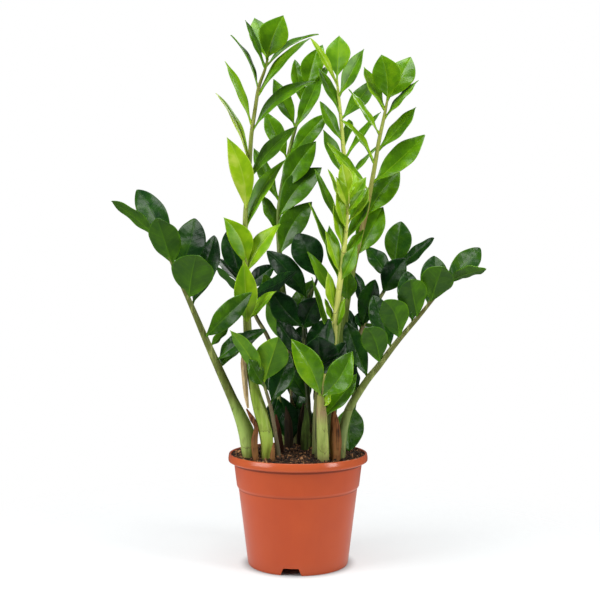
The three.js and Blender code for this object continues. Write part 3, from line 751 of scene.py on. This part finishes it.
class Look(Tree):
    """A material's tree, with its Principled node."""

    def __init__(self, name, gloss):
        self.material = bpy.data.materials.new(name)
        self.material.use_nodes = True
        super().__init__(self.material.node_tree)
        self.principled = self.group.nodes["Principled BSDF"]
        self.principled.inputs["Specular IOR Level"].default_value = gloss

    def feed(self, **wires):
        """Leads wires into the Principled node, and returns the material."""
        for key, wire in wires.items():
            self.group.links.new(wire.socket, self.principled.inputs[key.replace("_", " ")])
        return self.material

    def surface(self, colour, rough, height, strength, distance):
        """Feeds the colour, the roughness and the height of a bump, and returns the material."""
        inputs = {"Height": height, "Strength": strength, "Distance": distance}
        normal = self.node("ShaderNodeBump", inputs, out="Normal")
        return self.feed(Base_Color=colour, Roughness=rough, Normal=normal)

    def mix(self, share, a, b):
        """Colours a and b mixed by a share. Each is a wire, or 0 to 255 as on screen."""
        a, b = (v if isinstance(v, Wire) else (*linear(*v), 1) for v in (a, b))
        return self.node("ShaderNodeMix", {"Factor": share, "A": a, "B": b}, data_type="RGBA")

    def colours(self, share, stops):
        """The colour at a share of a ramp, whose stops are each a share, red, green and blue."""
        shown = self.node("ShaderNodeValToRGB", {0: share})
        elements = shown.socket.node.color_ramp.elements
        while len(elements) < len(stops):
            elements.new(1)
        for element, (position, *colour) in zip(elements, stops):
            element.position = position
            element.color = (*linear(*colour), 1)
        return shown

    def read(self, *names):
        """Wires that read the mesh's attributes."""
        return [self.node("ShaderNodeAttribute", out="Fac", attribute_name=name) for name in names]

    def where(self):
        return self.node("ShaderNodeTexCoord", out="Object")

    def height(self):
        """The height above the floor, in metres."""
        return self.node("ShaderNodeSeparateXYZ", {0: self.where()}, out="Z")

    def grain(self, scale, detail=3.0, roughness=0.55, upright=1.0):
        """Noise with scale features per metre, and upright times as many on the way up."""
        where = self.node("ShaderNodeMapping", {"Vector": self.where(), "Scale": (1.0, 1.0, upright)})
        inputs = {"Vector": where, "Scale": scale, "Detail": detail, "Roughness": roughness}
        return self.node("ShaderNodeTexNoise", inputs)


# %% [markdown]
# ## Leaf finish
#
# The upper face is waxy and deep green, the lower one paler and matte, with the midrib standing out.
# Old leaves are nearly blue green, new ones yellow green, and each is paler at its foot and along
# its rim. Each leaflet's tone is also painted light and shade: paler where it faces the light,
# deeper where it stands behind. Side veins leave the rib at a slant. They are dents in the leaf's
# own shape, and here a slightly paler line follows them, with a faint bump. Clouds and small quilts
# of tone keep a blade from looking flat, and one of its two halves is painted a little lighter than
# the other, as painted light on the two sides of the fold.

# %% Leaf finish
ROUGH_BELOW = 0.6
LEAF_COLOURS = rows("""
    0 8 34 11, .12 16 53 14, .25 33 73 13, .4 56 95 10, .5 69 117 3, .62 91 143 5, .75 121 168 10,
    .88 150 190 22, 1 186 208 76
""")


def leaf_finish(name, gloss, rough_above, relief):
    look = Look(name, gloss)
    u, v, side, tone_and_painted_light, halves, phase = look.read("u", "v", "side", "tone_and_painted_light", "halves", "phase")
    from_rib, from_root = look.read("from_rib", "from_root")
    below = (side * -1.0).ramp(0.0, 0.9)
    cloud = look.grain(40.0)
    quilt = look.grain(85.0, detail=1.0, roughness=0.4)
    fine = look.grain(260.0)
    vein_at = (from_root - from_rib * VEIN_SLANT) / VEIN_GAP
    vein = (vein_at * FULL_TURN + phase + (cloud - 0.5) * 3.0).call("SINE")
    vein_line = vein.ramp(0.6, 1.0) * from_rib.ramp(0.001, 0.004)
    # Painted light: one half of the blade, on one side of the rib, is painted a little lighter than the
    # other.
    half = (v * 4.0).call("MINIMUM", 1.0).call("MAXIMUM", -1.0)
    # Painted light and shade: the tone is paler where a leaflet faces the light and deeper where it stands
    # behind.
    shade = tone_and_painted_light + (cloud - 0.5) * 0.22 + half * halves * 0.08 + (quilt.ramp(0.34, 0.66) - 0.5) * 0.1
    shade = shade + vein_line * (0.022 + below * 0.022) + (1 - u.ramp(0.05, 0.4)) * 0.08
    shade = shade + v.call("ABSOLUTE").ramp(0.86, 1.0) * 0.14
    colour = look.mix(below * 0.14, look.colours(shade, LEAF_COLOURS), (92, 150, 36))
    near_rib = 1 - from_rib.ramp(0.0002, 0.0009)
    rib = look.colours(tone_and_painted_light + 0.24, LEAF_COLOURS)
    fading = 1 - u.ramp(0.35, 1.0) * 0.7
    colour = look.mix(near_rib * fading * (0.45 + below * 0.25), colour, rib)
    colour = look.mix((1 - u.ramp(0.05, 0.11)) * 0.8, colour, rib)
    rough = rough_above + below * (ROUGH_BELOW - rough_above) + (fine - 0.5) * 0.12
    height = (vein_line * 0.06 + quilt * 2.2) * relief
    return look.surface(colour, rough, height, 0.7, 0.0008)


# Each has its name, its gloss, how rough its upper face is and how strong its relief.
LEAF_FINISH = {
    "dark": leaf_finish("dark_leaf", 0.2, 0.28, 1.0),
    "green": leaf_finish("green_leaf", 0.3, 0.26, 0.8),
    "lime": leaf_finish("lime_leaf", 0.26, 0.32, 0.35),
}

# %% [markdown]
# ## Stem skins
#
# No two stems have the same colour. Young ones are yellow green and old ones olive, and those behind
# or in the shade are painted darker and browner, as painted shade. Each stem changes up its length
# too, so each gets a ramp of its own that is read by height: a row below is a height in millimetres
# and the red, green and blue seen there. All share the pale and dark streaks, the brown scars near
# the soil and the faint rings where scales once sat.

# %% Stem colours by height
# Painted shade: the rows of the stems that stand behind or in shade are darker and browner.
SKINS = {
    "frond_left": "128 132 150 66, 150 162 186 96, 188 146 174 84, 208 108 122 54, 300 106 116 56",
    "frond_left_back": "140 96 112 58, 200 110 128 66, 260 84 74 46, 330 74 84 40",
    "frond_tall_left": """
        130 150 168 60, 165 156 182 76, 205 128 156 52, 250 100 114 42, 290 120 130 56, 400 146 164 70,
        440 120 132 52, 500 124 140 52, 570 140 144 62, 610 124 162 50
    """,
    "frond_tall_back": "140 52 52 28, 190 66 50 34, 240 78 76 38, 330 74 94 34, 480 100 124 44",
    "frond_tall_middle": "140 70 80 40, 240 110 132 50, 330 140 164 58, 440 192 198 88, 580 176 190 80",
    "frond_tall_right": """
        140 72 84 42, 230 92 112 48, 330 118 142 56, 412 132 112 62, 448 152 154 70, 500 160 170 74
    """,
    "frond_young": "130 104 118 62, 200 128 130 84, 235 190 192 96, 262 234 236 132, 440 220 226 112",
    "frond_front_left": "131 100 92 72, 160 112 102 80, 200 116 104 78, 220 110 118 66",
    "frond_front_middle": "127 150 146 96, 145 150 168 84, 175 158 172 92, 190 150 128 92, 204 140 140 72",
    "frond_right": "130 104 118 68, 165 124 142 82, 200 124 140 68, 250 116 126 62, 330 116 112 64",
    "frond_right_back": "140 46 60 24, 175 52 70 24, 205 74 90 44, 260 106 92 56, 340 92 100 48",
    "frond_middle": "138 36 66 10, 150 50 78 18, 160 42 30 16, 172 46 58 28, 240 34 46 18",
    "frond_front_short": "128 50 56 30, 180 66 70 40, 240 56 68 32",
}
SCAR = (84, 62, 36)


def stem_finish(name, skin):
    look = Look(name, 0.22)
    z = look.height()
    streak = look.grain(260.0, upright=0.07)
    blotch = look.grain(95.0, upright=0.45)
    foot, top = skin[0][0] * MM, skin[-1][0] * MM
    stops = [((height * MM - foot) / (top - foot), *colour) for height, *colour in skin]
    colour = look.colours((z - foot) / (top - foot) + (blotch - 0.5) * 0.08, stops)
    colour = look.mix(streak.ramp(0.5, 0.72) * 0.36, colour, (206, 216, 128))
    colour = look.mix((1 - streak.ramp(0.3, 0.46)) * 0.36, colour, (70, 80, 26))
    low = 1 - z.ramp(0.17, 0.26)
    colour = look.mix(blotch.ramp(0.57, 0.68) * low * 0.3, colour, SCAR)
    ring = ((z / 0.023 + blotch * 1.6) * FULL_TURN).call("SINE").ramp(0.94, 1.0)
    colour = look.mix(ring * blotch.ramp(0.4, 0.6) * 0.5, colour, SCAR)
    colour = look.mix((1 - z.ramp(0.13, 0.143)) * 0.6, colour, SCAR)
    rough = 0.42 + (streak - 0.5) * 0.3
    return look.surface(colour, rough, streak - ring * 0.4, 0.4, 0.0004)


STEM_FINISH = {name: stem_finish(name + "_skin", rows(skin)) for name, skin in SKINS.items()}
print("stem skins:", len(STEM_FINISH))

# %% [markdown]
# ## Growing the fronds
#
# For each table, a poly curve follows the stem and one point stands for each leaflet, with the
# directions that its roll gives it. Stem and leaflets are joined, and the frond then stands for its
# plain solid. Dark fronds are old, with broad leaflets, and lime ones young, with pointed ones.

# %% Fronds
HABITS = {
    "dark": {"Pointed": 0.7, "Swell": 1.08, "Fold": 0.16, "Wave": 0.0009, "Pucker": 0.00017},
    "green": {"Pointed": 0.9, "Swell": 1.06, "Fold": 0.2, "Wave": 0.0008, "Pucker": 0.00017},
    "lime": {"Pointed": 1.02, "Swell": 1.06, "Fold": 0.22, "Wave": 0.0005, "Pucker": 0.0001},
}
STEPS_PER_SPAN = 8


def path_curve(name, path):
    curve = bpy.data.curves.new(name, "CURVE")
    curve.dimensions = "3D"
    spline = curve.splines.new("POLY")
    count = path.spans * STEPS_PER_SPAN
    spline.points.add(count)
    for k, point in enumerate(spline.points):
        point.co = (*path.point(k / count), 1)
        point.radius = path.radius(k / count)
    return curve


def leaflet_roots(name, path, leaflets):
    """A mesh with one point for each leaflet's root and, as attributes, how the leaflet lies."""
    roots = []
    facts = []
    for root_z, tip_x, tip_z, tip_depth, width, roll, bow, tone_and_painted_light in leaflets:
        t = path.reaching(root_z)
        root = path.point(t)
        tip = place(tip_x, path.depth_of(path.drawn(t)[1]) + tip_depth, tip_z)
        along = (tip - root).normalized()
        to_viewer = Vector((0, -1, 0))
        to_viewer = (to_viewer - along * to_viewer.dot(along)).normalized()
        upwards = along.cross(to_viewer)
        if upwards.z < 0:
            upwards.negate()
        angle = math.radians(roll)
        up = (to_viewer * math.cos(angle) + upwards * math.sin(angle)).normalized()
        lie = {"along": along, "across": up.cross(along), "up": up, "bow": upwards * bow}
        facts.append({**lie, "length": (tip - root).length, "width": width * MM, "tone_and_painted_light": tone_and_painted_light})
        roots.append(root)
    mesh = bpy.data.meshes.new(name)
    mesh.from_pydata(roots, [], [])
    for key in facts[0]:
        set_attribute(mesh, key, [fact[key] for fact in facts])
    return mesh


def grow(number, name, table):
    path = Path(table)
    habit = table["habit"]
    leaflets = rows(table["leaflets"])
    stem = baked(name + "_stem", path_curve(name, path), STEMS, {"Finish": STEM_FINISH[name]})
    settings = {"Pad": pad, "Finish": LEAF_FINISH[habit], "Seed": 10 * number, **HABITS[habit]}
    leaves = baked(name + "_leaves", leaflet_roots(name, path, leaflets), LEAFLETS, settings)
    piece = joined(name + "_grown", [stem, leaves])
    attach(piece, "root")
    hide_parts(name)
    habit + "_leaf"
    print(f"{name}: {len(leaflets)} leaflets, {len(piece.data.polygons)} faces")


for number, (name, table) in enumerate(FRONDS.items(), 1):
    grow(number, name, table)

# %% [markdown]
# ## Dry scales
#
# Each stem starts inside a papery scale, which dries brown and splits. They are short, so the stem
# tree makes them too, with ridges, and their finish is fibrous. Those deep in the shade are darker,
# one is still green, and the sheath up the tall stem is pale straw.

# %% Dry scales
# Three colours for each: dark fibres, pale fibres and the foot.
HUSK_COLOURS = {
    "husk": ((44, 24, 12), (130, 82, 46), (134, 96, 54)),
    "shaded_husk": ((12, 9, 5), (44, 32, 16), (36, 28, 14)),
    "green_sheath": ((34, 50, 18), (78, 100, 40), (50, 44, 20)),
    "straw": ((150, 122, 78), (206, 184, 138), (170, 140, 90)),
    "red_husk": ((40, 18, 14), (98, 52, 38), (60, 34, 24)),
}
OTHER_HUSKS = {
    "husk_back": "red_husk",
    "husk_middle": "green_sheath",
    "husk_rear_left": "shaded_husk",
    "husk_rear_right": "shaded_husk",
    "straw_sheath": "straw",
}


def husk_finish(name, dark, light, foot):
    look = Look(name, 0.14)
    fibre = look.grain(420.0, upright=0.06)
    patch = look.grain(70.0)
    colour = look.mix(fibre.ramp(0.32, 0.62), dark, light)
    colour = look.mix((1 - look.height().ramp(0.135, 0.178)) * patch.ramp(0.3, 0.56), colour, foot)
    return look.surface(colour, 0.72 + (fibre - 0.5) * 0.3, fibre, 0.8, 0.0008)


HUSK_FINISH = {name: husk_finish(name, *colours) for name, colours in HUSK_COLOURS.items()}
for name, table in HUSKS.items():
    finish = HUSK_FINISH[OTHER_HUSKS.get(name, "husk")]
    settings = {"Finish": finish, "Step": 0.0012, "Ridge": 0.1, "Ridges": 5.0}
    piece = baked(name + "_dried", path_curve(name, Path(table)), STEMS, settings)
    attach(piece, "root")
    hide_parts(name)
    "straw" if name == "straw_sheath" else "husk"
print("dry scales:", len(HUSKS))

# %% [markdown]
# ## The pot
#
# A nursery pot is moulded in one shot: a thin wall, a rolled rim, one step where pots stack, and
# notches in the foot that let water out. It is a turned shape, so its profile is drawn once, with
# every corner rounded, and spun. The notches and drain holes are cut afterwards.
#
# The profile runs inside from the floor's middle to the rim, then outside back to the floor. Each of
# its rows is a radius, a height and the size of the rounded corner, in millimetres.

# %% Pot profile and spin
POT_TURNS = 180
CORNER_STEPS = 5
WELD = 1e-6
POT_PROFILE = rows("""
    0 12 0, 60.6 12 2, 70.4 91.5 6, 76.2 121.5 4, 80.6 130.5 3, 81.8 134 .6, 84 134 .9, 85.1 128.4 2.4,
    84.7 125 .9, 83 124.2 .8, 77.9 121.6 1.2, 74.6 95.2 .6, 72.3 91.2 1, 61.2 2.6 1.8, 60.4 0 .9, 58.6 0 .5,
    60 10.4 1, 0 10.4 0
""")


def rounded(profile):
    """The profile with each corner replaced by an arc that starts its radius before the corner."""
    points = []
    for k, (r, z, radius) in enumerate(profile):
        corner = Vector((r, z))
        if radius == 0:
            points.append(corner)
            continue
        before = (Vector(profile[k - 1][:2]) - corner).normalized() * radius
        after = (Vector(profile[k + 1][:2]) - corner).normalized() * radius
        for step in range(CORNER_STEPS + 1):
            w = step / CORNER_STEPS
            points.append(corner + before * (1 - w) ** 2 + after * w**2)
    return points


def mesh_from(name, shell):
    """A bmesh turned into a mesh."""
    mesh = bpy.data.meshes.new(name)
    shell.to_mesh(mesh)
    shell.free()
    return mesh


def spun(name, profile):
    """A closed solid from a profile that starts and ends on the axis."""
    shell = bmesh.new()
    verts = [shell.verts.new((p.x * MM, 0, p.y * MM)) for p in profile]
    edges = [shell.edges.new(pair) for pair in zip(verts, verts[1:])]
    turn = {"cent": (0, 0, 0), "axis": (0, 0, 1), "angle": FULL_TURN, "steps": POT_TURNS}
    bmesh.ops.spin(shell, geom=verts + edges, **turn)
    bmesh.ops.remove_doubles(shell, verts=shell.verts, dist=WELD)
    bmesh.ops.recalc_face_normals(shell, faces=shell.faces)
    return linked(name, mesh_from(name, shell))


pot = spun("pot_moulded", rounded(POT_PROFILE))
print("pot:", len(pot.data.polygons), "faces before the cuts")

# %% [markdown]
# ## Notches and drain holes
#
# The cutters are plain blocks and rods, joined into one object so that a single Boolean does it. The
# blocks reach through the foot's wall, and the rods through the raised floor.

# %% Cut the pot
NOTCH_TURNS = [-97.7 + 120 * k for k in range(3)]
NOTCH_REACH = (55, 67)
NOTCH_OUTLINE = ((-13, -1), (13, -1), (9, 8.8), (-9, 8.8))
DRAIN_COUNT = 6
DRAIN_RADIUS = 4.5
DRAIN_CIRCLE = 38
DRAIN_SIDES = 32
FLOOR_MIDDLE = 11.2
ROD_LENGTH = 8
SHARP_DEGREES = 35


def notch(cutter, degrees):
    """A block with the notch's outline, through the foot in one direction from the pot's axis."""
    cosine, sine = math.cos(math.radians(degrees)), math.sin(math.radians(degrees))
    rings = []
    for reach in NOTCH_REACH:
        ring = []
        for side, z in NOTCH_OUTLINE:
            spot = (reach * cosine - side * sine, reach * sine + side * cosine, z)
            ring.append(cutter.verts.new([c * MM for c in spot]))
        rings.append(ring)
    for face in [*quads(rings[::-1]), rings[0][::-1], rings[1]]:
        cutter.faces.new(face)


cutter = bmesh.new()
for degrees in NOTCH_TURNS:
    notch(cutter, degrees)
for k in range(DRAIN_COUNT):
    turn = FULL_TURN * k / DRAIN_COUNT
    centre = Vector((math.cos(turn), math.sin(turn), 0)) * DRAIN_CIRCLE * MM
    rod = {"radius1": DRAIN_RADIUS * MM, "radius2": DRAIN_RADIUS * MM, "depth": ROD_LENGTH * MM}
    made = bmesh.ops.create_cone(cutter, cap_ends=True, segments=DRAIN_SIDES, **rod)
    bmesh.ops.translate(cutter, verts=made["verts"], vec=centre + Vector((0, 0, FLOOR_MIDDLE * MM)))
bmesh.ops.recalc_face_normals(cutter, faces=cutter.faces)
cutters = linked("pot_cutters", mesh_from("pot_cutters", cutter))

boolean = pot.modifiers.new("cuts", "BOOLEAN")
boolean.operation = "DIFFERENCE"
boolean.solver = "MANIFOLD"
boolean.object = cutters
cut = evaluated_mesh(pot)
pot.modifiers.remove(boolean)
pot.data = cut
bpy.data.objects.remove(cutters)
cut.shade_smooth()
cut.set_sharp_from_angle(angle=math.radians(SHARP_DEGREES))
print("pot:", len(cut.polygons), "faces after the cuts")

# %% [markdown]
# ## Pot finish
#
# Coloured polypropylene has a satin skin. Its colour is even, so the life comes from roughness that
# drifts, faint upright flow marks and fine scratches. The wall is painted darker towards the foot,
# as painted shade, and some pale dust lies right at the foot. The rim is paler and smoother, and
# thin dark lines of painted shade stand under the rim and the step.


# %% Pot finish
def pot_finish():
    look = Look("terracotta_plastic", 0.42)
    z = look.height()
    drift = look.grain(14.0)
    flow = look.grain(90.0, upright=0.12)
    fine = look.grain(1800.0, detail=2.0)
    body = look.mix(drift.ramp(0.3, 0.7), (190, 72, 20), (199, 80, 24))
    body = look.mix(flow.ramp(0.45, 0.75) * 0.12, body, (172, 58, 16))
    body = look.mix((1 - z.ramp(0.0, 0.02)) * 0.25 * drift, body, (150, 100, 76))
    # Painted shade: the wall is painted darker towards the foot.
    body = look.mix(0.5 - z.ramp(0.01, 0.11) * 0.3, body, (150, 54, 12))
    rim = z.ramp(0.1242, 0.1262)
    body = look.mix(rim * 0.5, body, (196, 102, 66))
    # Painted shade: thin dark lines under the rim and under the step.
    shade_under_rim = z.ramp(0.1202, 0.1216) * (1 - z.ramp(0.1234, 0.1246))
    shade_under_step = z.ramp(0.0906, 0.0915) * (1 - z.ramp(0.0922, 0.0934))
    painted_recess_shade = shade_under_rim * 0.75 + shade_under_step * 0.4
    body = look.mix(painted_recess_shade, body, (92, 30, 10))
    rough = 0.36 - rim * 0.15 + painted_recess_shade * 0.5 + (drift - 0.5) * 0.12 + (fine - 0.5) * 0.08
    return look.surface(body, rough, fine * 0.5 + flow, 0.25, 0.00012)


cut.materials.clear()
cut.materials.append(pot_finish())
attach(pot, "root")
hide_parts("pot")

# %% [markdown]
# ## The soil
#
# Potting soil is a lumpy sheet with crumbs and bits of bark on it. The sheet follows the plain
# solid's own height formula, on a much finer mesh with smaller lumps, down to a side and a bottom
# that lie inside the pot.

# %% Soil ground
SOIL_EDGE_Z = 132.2
SOIL_CROWN = 5.2
CROWN_RADIUS = 80
HEAP_X, HEAP_Y = -64, 8
HEAP_HEIGHT = 10.5
HEAP_SPREAD = 11
SOIL_RADIUS = 80.5
SOIL_RINGS = 90
SOIL_TURNS = 220
SOIL_SIDE = ((75.8, 121.7), (70.0, 91.8), (60.2, 12.4))

# Small lumps of noise: height in mm, lumps per mm and where in the noise they are cut.
FINE_LUMPS = ((1.5, 0.22, 0), (0.9, 0.55, 9), (0.5, 1.3, 5))


def soil_height(x, y):
    share = min(math.hypot(x, y) / CROWN_RADIUS, 1)
    away = ((x - HEAP_X) ** 2 + (y - HEAP_Y) ** 2) / (2 * HEAP_SPREAD**2)
    heap = HEAP_HEIGHT * math.exp(-away)
    lumps = 0.9 * math.sin(x / 5.1) * math.sin(y / 4.3) + 0.6 * math.sin(x / 2.7 + y / 3.9)
    fine = sum(height * noise(Vector((x, y, level)) * pace) for height, pace, level in FINE_LUMPS)
    return SOIL_EDGE_Z + SOIL_CROWN * (1 - share**2) + (heap + lumps) * (1 - share**6) + fine


def soil_mesh():
    angles = [FULL_TURN * k / SOIL_TURNS for k in range(SOIL_TURNS)]
    circle = [(math.cos(angle), math.sin(angle)) for angle in angles]
    points = [(0, 0, soil_height(0, 0))]
    for ring in range(1, SOIL_RINGS + 1):
        r = SOIL_RADIUS * ring / SOIL_RINGS
        points += [(r * c, r * s, soil_height(r * c, r * s)) for c, s in circle]
    for r, z in SOIL_SIDE:
        points += [(r * c, r * s, z) for c, s in circle]
    rings = [range(start, start + SOIL_TURNS) for start in range(1, len(points), SOIL_TURNS)]
    faces = [(0, 1 + k, 1 + (k + 1) % SOIL_TURNS) for k in range(SOIL_TURNS)]
    faces += [*quads(rings), tuple(rings[-1][::-1])]
    mesh = bpy.data.meshes.new("soil_ground")
    mesh.from_pydata([Vector(p) * MM for p in points], [], faces)
    mesh.shade_smooth()
    return mesh


soil = linked("soil_ground", soil_mesh())
print("soil:", len(soil.data.polygons), "faces")

# %% [markdown]
# The finish shows dark peat between paler clods, with flecks of bark.


# %% Soil finish
def soil_finish():
    look = Look("soil", 0.25)
    clod = look.grain(420.0, detail=5.0)
    fleck = look.grain(900.0, detail=2.0)
    colour = look.mix(clod.ramp(0.42, 0.64), (14, 9, 6), (84, 58, 38))
    colour = look.mix(fleck.ramp(0.62, 0.7), colour, (158, 118, 82))
    return look.surface(colour, 0.9 + (clod - 0.5) * 0.2, clod + fleck * 0.5, 1.0, 0.0012)


soil.data.materials.append(soil_finish())
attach(soil, "root")
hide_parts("soil")

# %% [markdown]
# ## Crumbs
#
# About two thousand crumbs break the sheet up. Each is one of a few lumpy stones, dropped on a
# random spot, turned and scaled at random, and tinted from black peat to tan bark.

# %% Crumb shapes
CRUMB_SHAPES = 3
CRUMB_STRETCH = (1.25, 0.85, 0.7)
DENT_DEPTH = 0.35
DENTS_PER_RADIUS = 1.4
NEXT_SHAPE = 7.0


def crumb_shape(number):
    """A stone: a ball of radius 1, dented by its own part of the noise and then stretched."""
    lump = bmesh.new()
    bmesh.ops.create_icosphere(lump, subdivisions=1, radius=1)
    for vert in lump.verts:
        push = 1 + DENT_DEPTH * noise(vert.co * DENTS_PER_RADIUS + Vector((number * NEXT_SHAPE, 0, 0)))
        vert.co = Vector([c * stretch for c, stretch in zip(vert.co, CRUMB_STRETCH)]) * push
    return bpy.data.objects.new(f"crumb_{number}", mesh_from(f"crumb_{number}", lump))


# %% [markdown]
# Crumbs lie only where the sheet is high and faces up, so none hangs on the soil's side. Most are
# small: a random share is cubed before it becomes a size.

# %% Crumb scatter
CRUMB_DENSITY = 78000.0
FLAT_ENOUGH = 0.2
TUMBLE = (6.28, 6.28, 6.28)


def crumb_tree(shapes):
    sockets = {"Finish": "Material", "Seed": 4, "Density": 1000.0}
    sockets |= {"Smallest": 0.0006, "Largest": 0.0026, "Lowest": 0.128}
    tree, given = new_group("crumbs", sockets)
    seed = given["Seed"]
    height, facing = (
        tree.node("ShaderNodeSeparateXYZ", {0: tree.node(kind)}, out="Z")
        for kind in ("GeometryNodeInputPosition", "GeometryNodeInputNormal")
    )
    on_top = height.call("GREATER_THAN", given["Lowest"]) * facing.call("GREATER_THAN", FLAT_ENOUGH)
    inputs = {"Mesh": given["Geometry"], "Density": given["Density"] * on_top, "Seed": seed}
    points = tree.node("GeometryNodeDistributePointsOnFaces", inputs)
    points = store(tree, points, "tint", chance(tree, seed + 2, 0.0, 1.0))
    mostly_small = chance(tree, seed + 1, 0.0, 1.0) ** 3.0
    size = given["Smallest"] + (given["Largest"] - given["Smallest"]) * mostly_small
    collected = tree.group.nodes.new("GeometryNodeGeometryToInstance")
    for shape in reversed(shapes):
        tree.group.links.new(instance(tree, shape).socket, collected.inputs[0])
    crumbs = tree.node(
        "GeometryNodeInstanceOnPoints",
        {
            "Points": points,
            "Instance": Wire(tree, collected.outputs[0]),
            "Pick Instance": True,
            "Instance Index": chance(tree, seed + 3, 0, len(shapes) - 1, "INT"),
            "Rotation": chance(tree, seed, (0, 0, 0), TUMBLE, "FLOAT_VECTOR"),
            "Scale": size,
        },
    )
    crumbs = tree.node("GeometryNodeRealizeInstances", {"Geometry": crumbs})
    return end_tree(tree, crumbs, given["Finish"], False)


def crumb_finish():
    look = Look("crumbs", 0.25)
    stops = rows("0 16 10 6, .45 48 31 20, .7 108 68 42, 1 200 146 98")
    colour = look.colours(*look.read("tint"), stops)
    rough = look.grain(700.0)
    colour = look.mix(rough.ramp(0.35, 0.7) * 0.5, colour, (30, 20, 14))
    return look.surface(colour, 0.82 + (rough - 0.5) * 0.2, rough, 0.8, 0.0006)


shapes = [crumb_shape(number) for number in range(CRUMB_SHAPES)]
settings = {"Finish": crumb_finish(), "Density": CRUMB_DENSITY}
crumbs = baked("soil_crumbs", soil.data.copy(), crumb_tree(shapes), settings)
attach(crumbs, "root")
print("crumbs:", len(crumbs.data.polygons), "faces")

# %% [markdown]
# ## Studio
#
# The photograph has a white ground, soft shadows on both sides of the foot and a pale upright
# reflection on each side of the rim. That is two tall softboxes, a broad one on the left and a
# narrow one on the right, with a big soft one above and a weak one behind. The floor is slightly
# cool, so that shadows come out neutral. It glows a little, but not under the pot, and its glow
# fades in just round the foot, which paints a soft contact shadow there. It also fades out into
# the white world, so no horizon shows.

# %% Floor, world and lights
PALE = (0.44, 0.462, 0.467)
FLOOR_HALF = 3.0
FLOOR_GLOW = 0.53
UNSEEN_SKY = 0.12


def floor_finish():
    look = Look("studio_floor", 0.1)
    look.principled.inputs["Base Color"].default_value = (*PALE, 1)
    look.principled.inputs["Roughness"].default_value = 0.9
    look.principled.inputs["Emission Strength"].default_value = FLOOR_GLOW
    away = look.where().call("LENGTH")
    # Painted shade: no glow under the pot, and a glow that fades in round its foot, as a painted contact
    # shadow.
    glow = look.mix(away.ramp(0.055, 0.074), (0, 0, 0), (255, 255, 255))
    return look.feed(Emission_Color=glow, Alpha=1 - away.ramp(0.2, 0.6))


floor_mesh = bpy.data.meshes.new("studio_floor")
corners = [(-1, -1, 0), (1, -1, 0), (1, 1, 0), (-1, 1, 0)]
floor_mesh.from_pydata([Vector(c) * FLOOR_HALF for c in corners], [], [(0, 1, 2, 3)])
floor_mesh.materials.append(floor_finish())
floor = linked("studio_floor", floor_mesh)

world = bpy.data.worlds.new("studio")
world.use_nodes = True
background = world.node_tree.nodes["Background"]
seen = Tree(world.node_tree).node("ShaderNodeLightPath", out="Is Camera Ray")
strength = seen + (1 - seen) * UNSEEN_SKY
world.node_tree.links.new(strength.socket, background.inputs["Strength"])
background.inputs["Color"].default_value = (1, 1, 1, 1)
bpy.context.scene.world = world
bpy.context.scene.view_settings.view_transform = "Standard"

# Softboxes: name, place, point aimed at, width and height in metres, power in watts.
SOFTBOXES = (
    ("left_box", (-1.22, -0.7, 0.75), (0, 0, 0.3), 0.8, 1.3, 20),
    ("right_box", (1.18, -0.78, 0.75), (0, 0, 0.3), 0.4, 1.3, 15),
    ("top_box", (0.0, -0.5, 1.9), (0, 0, 0.3), 1.1, 0.8, 19),
    ("back_box", (0.3, 1.2, 1.4), (0, 0, 0.45), 1.2, 0.8, 8),
)
for name, where, aim, width, height, power in SOFTBOXES:
    light = bpy.data.lights.new(name, "AREA")
    light.shape = "RECTANGLE"
    light.size = width
    light.size_y = height
    light.energy = power
    lamp = linked(name, light)
    lamp.location = where
    lamp.rotation_euler = (Vector(aim) - Vector(where)).to_track_quat("-Z", "Y").to_euler()
print("softboxes:", len(SOFTBOXES))
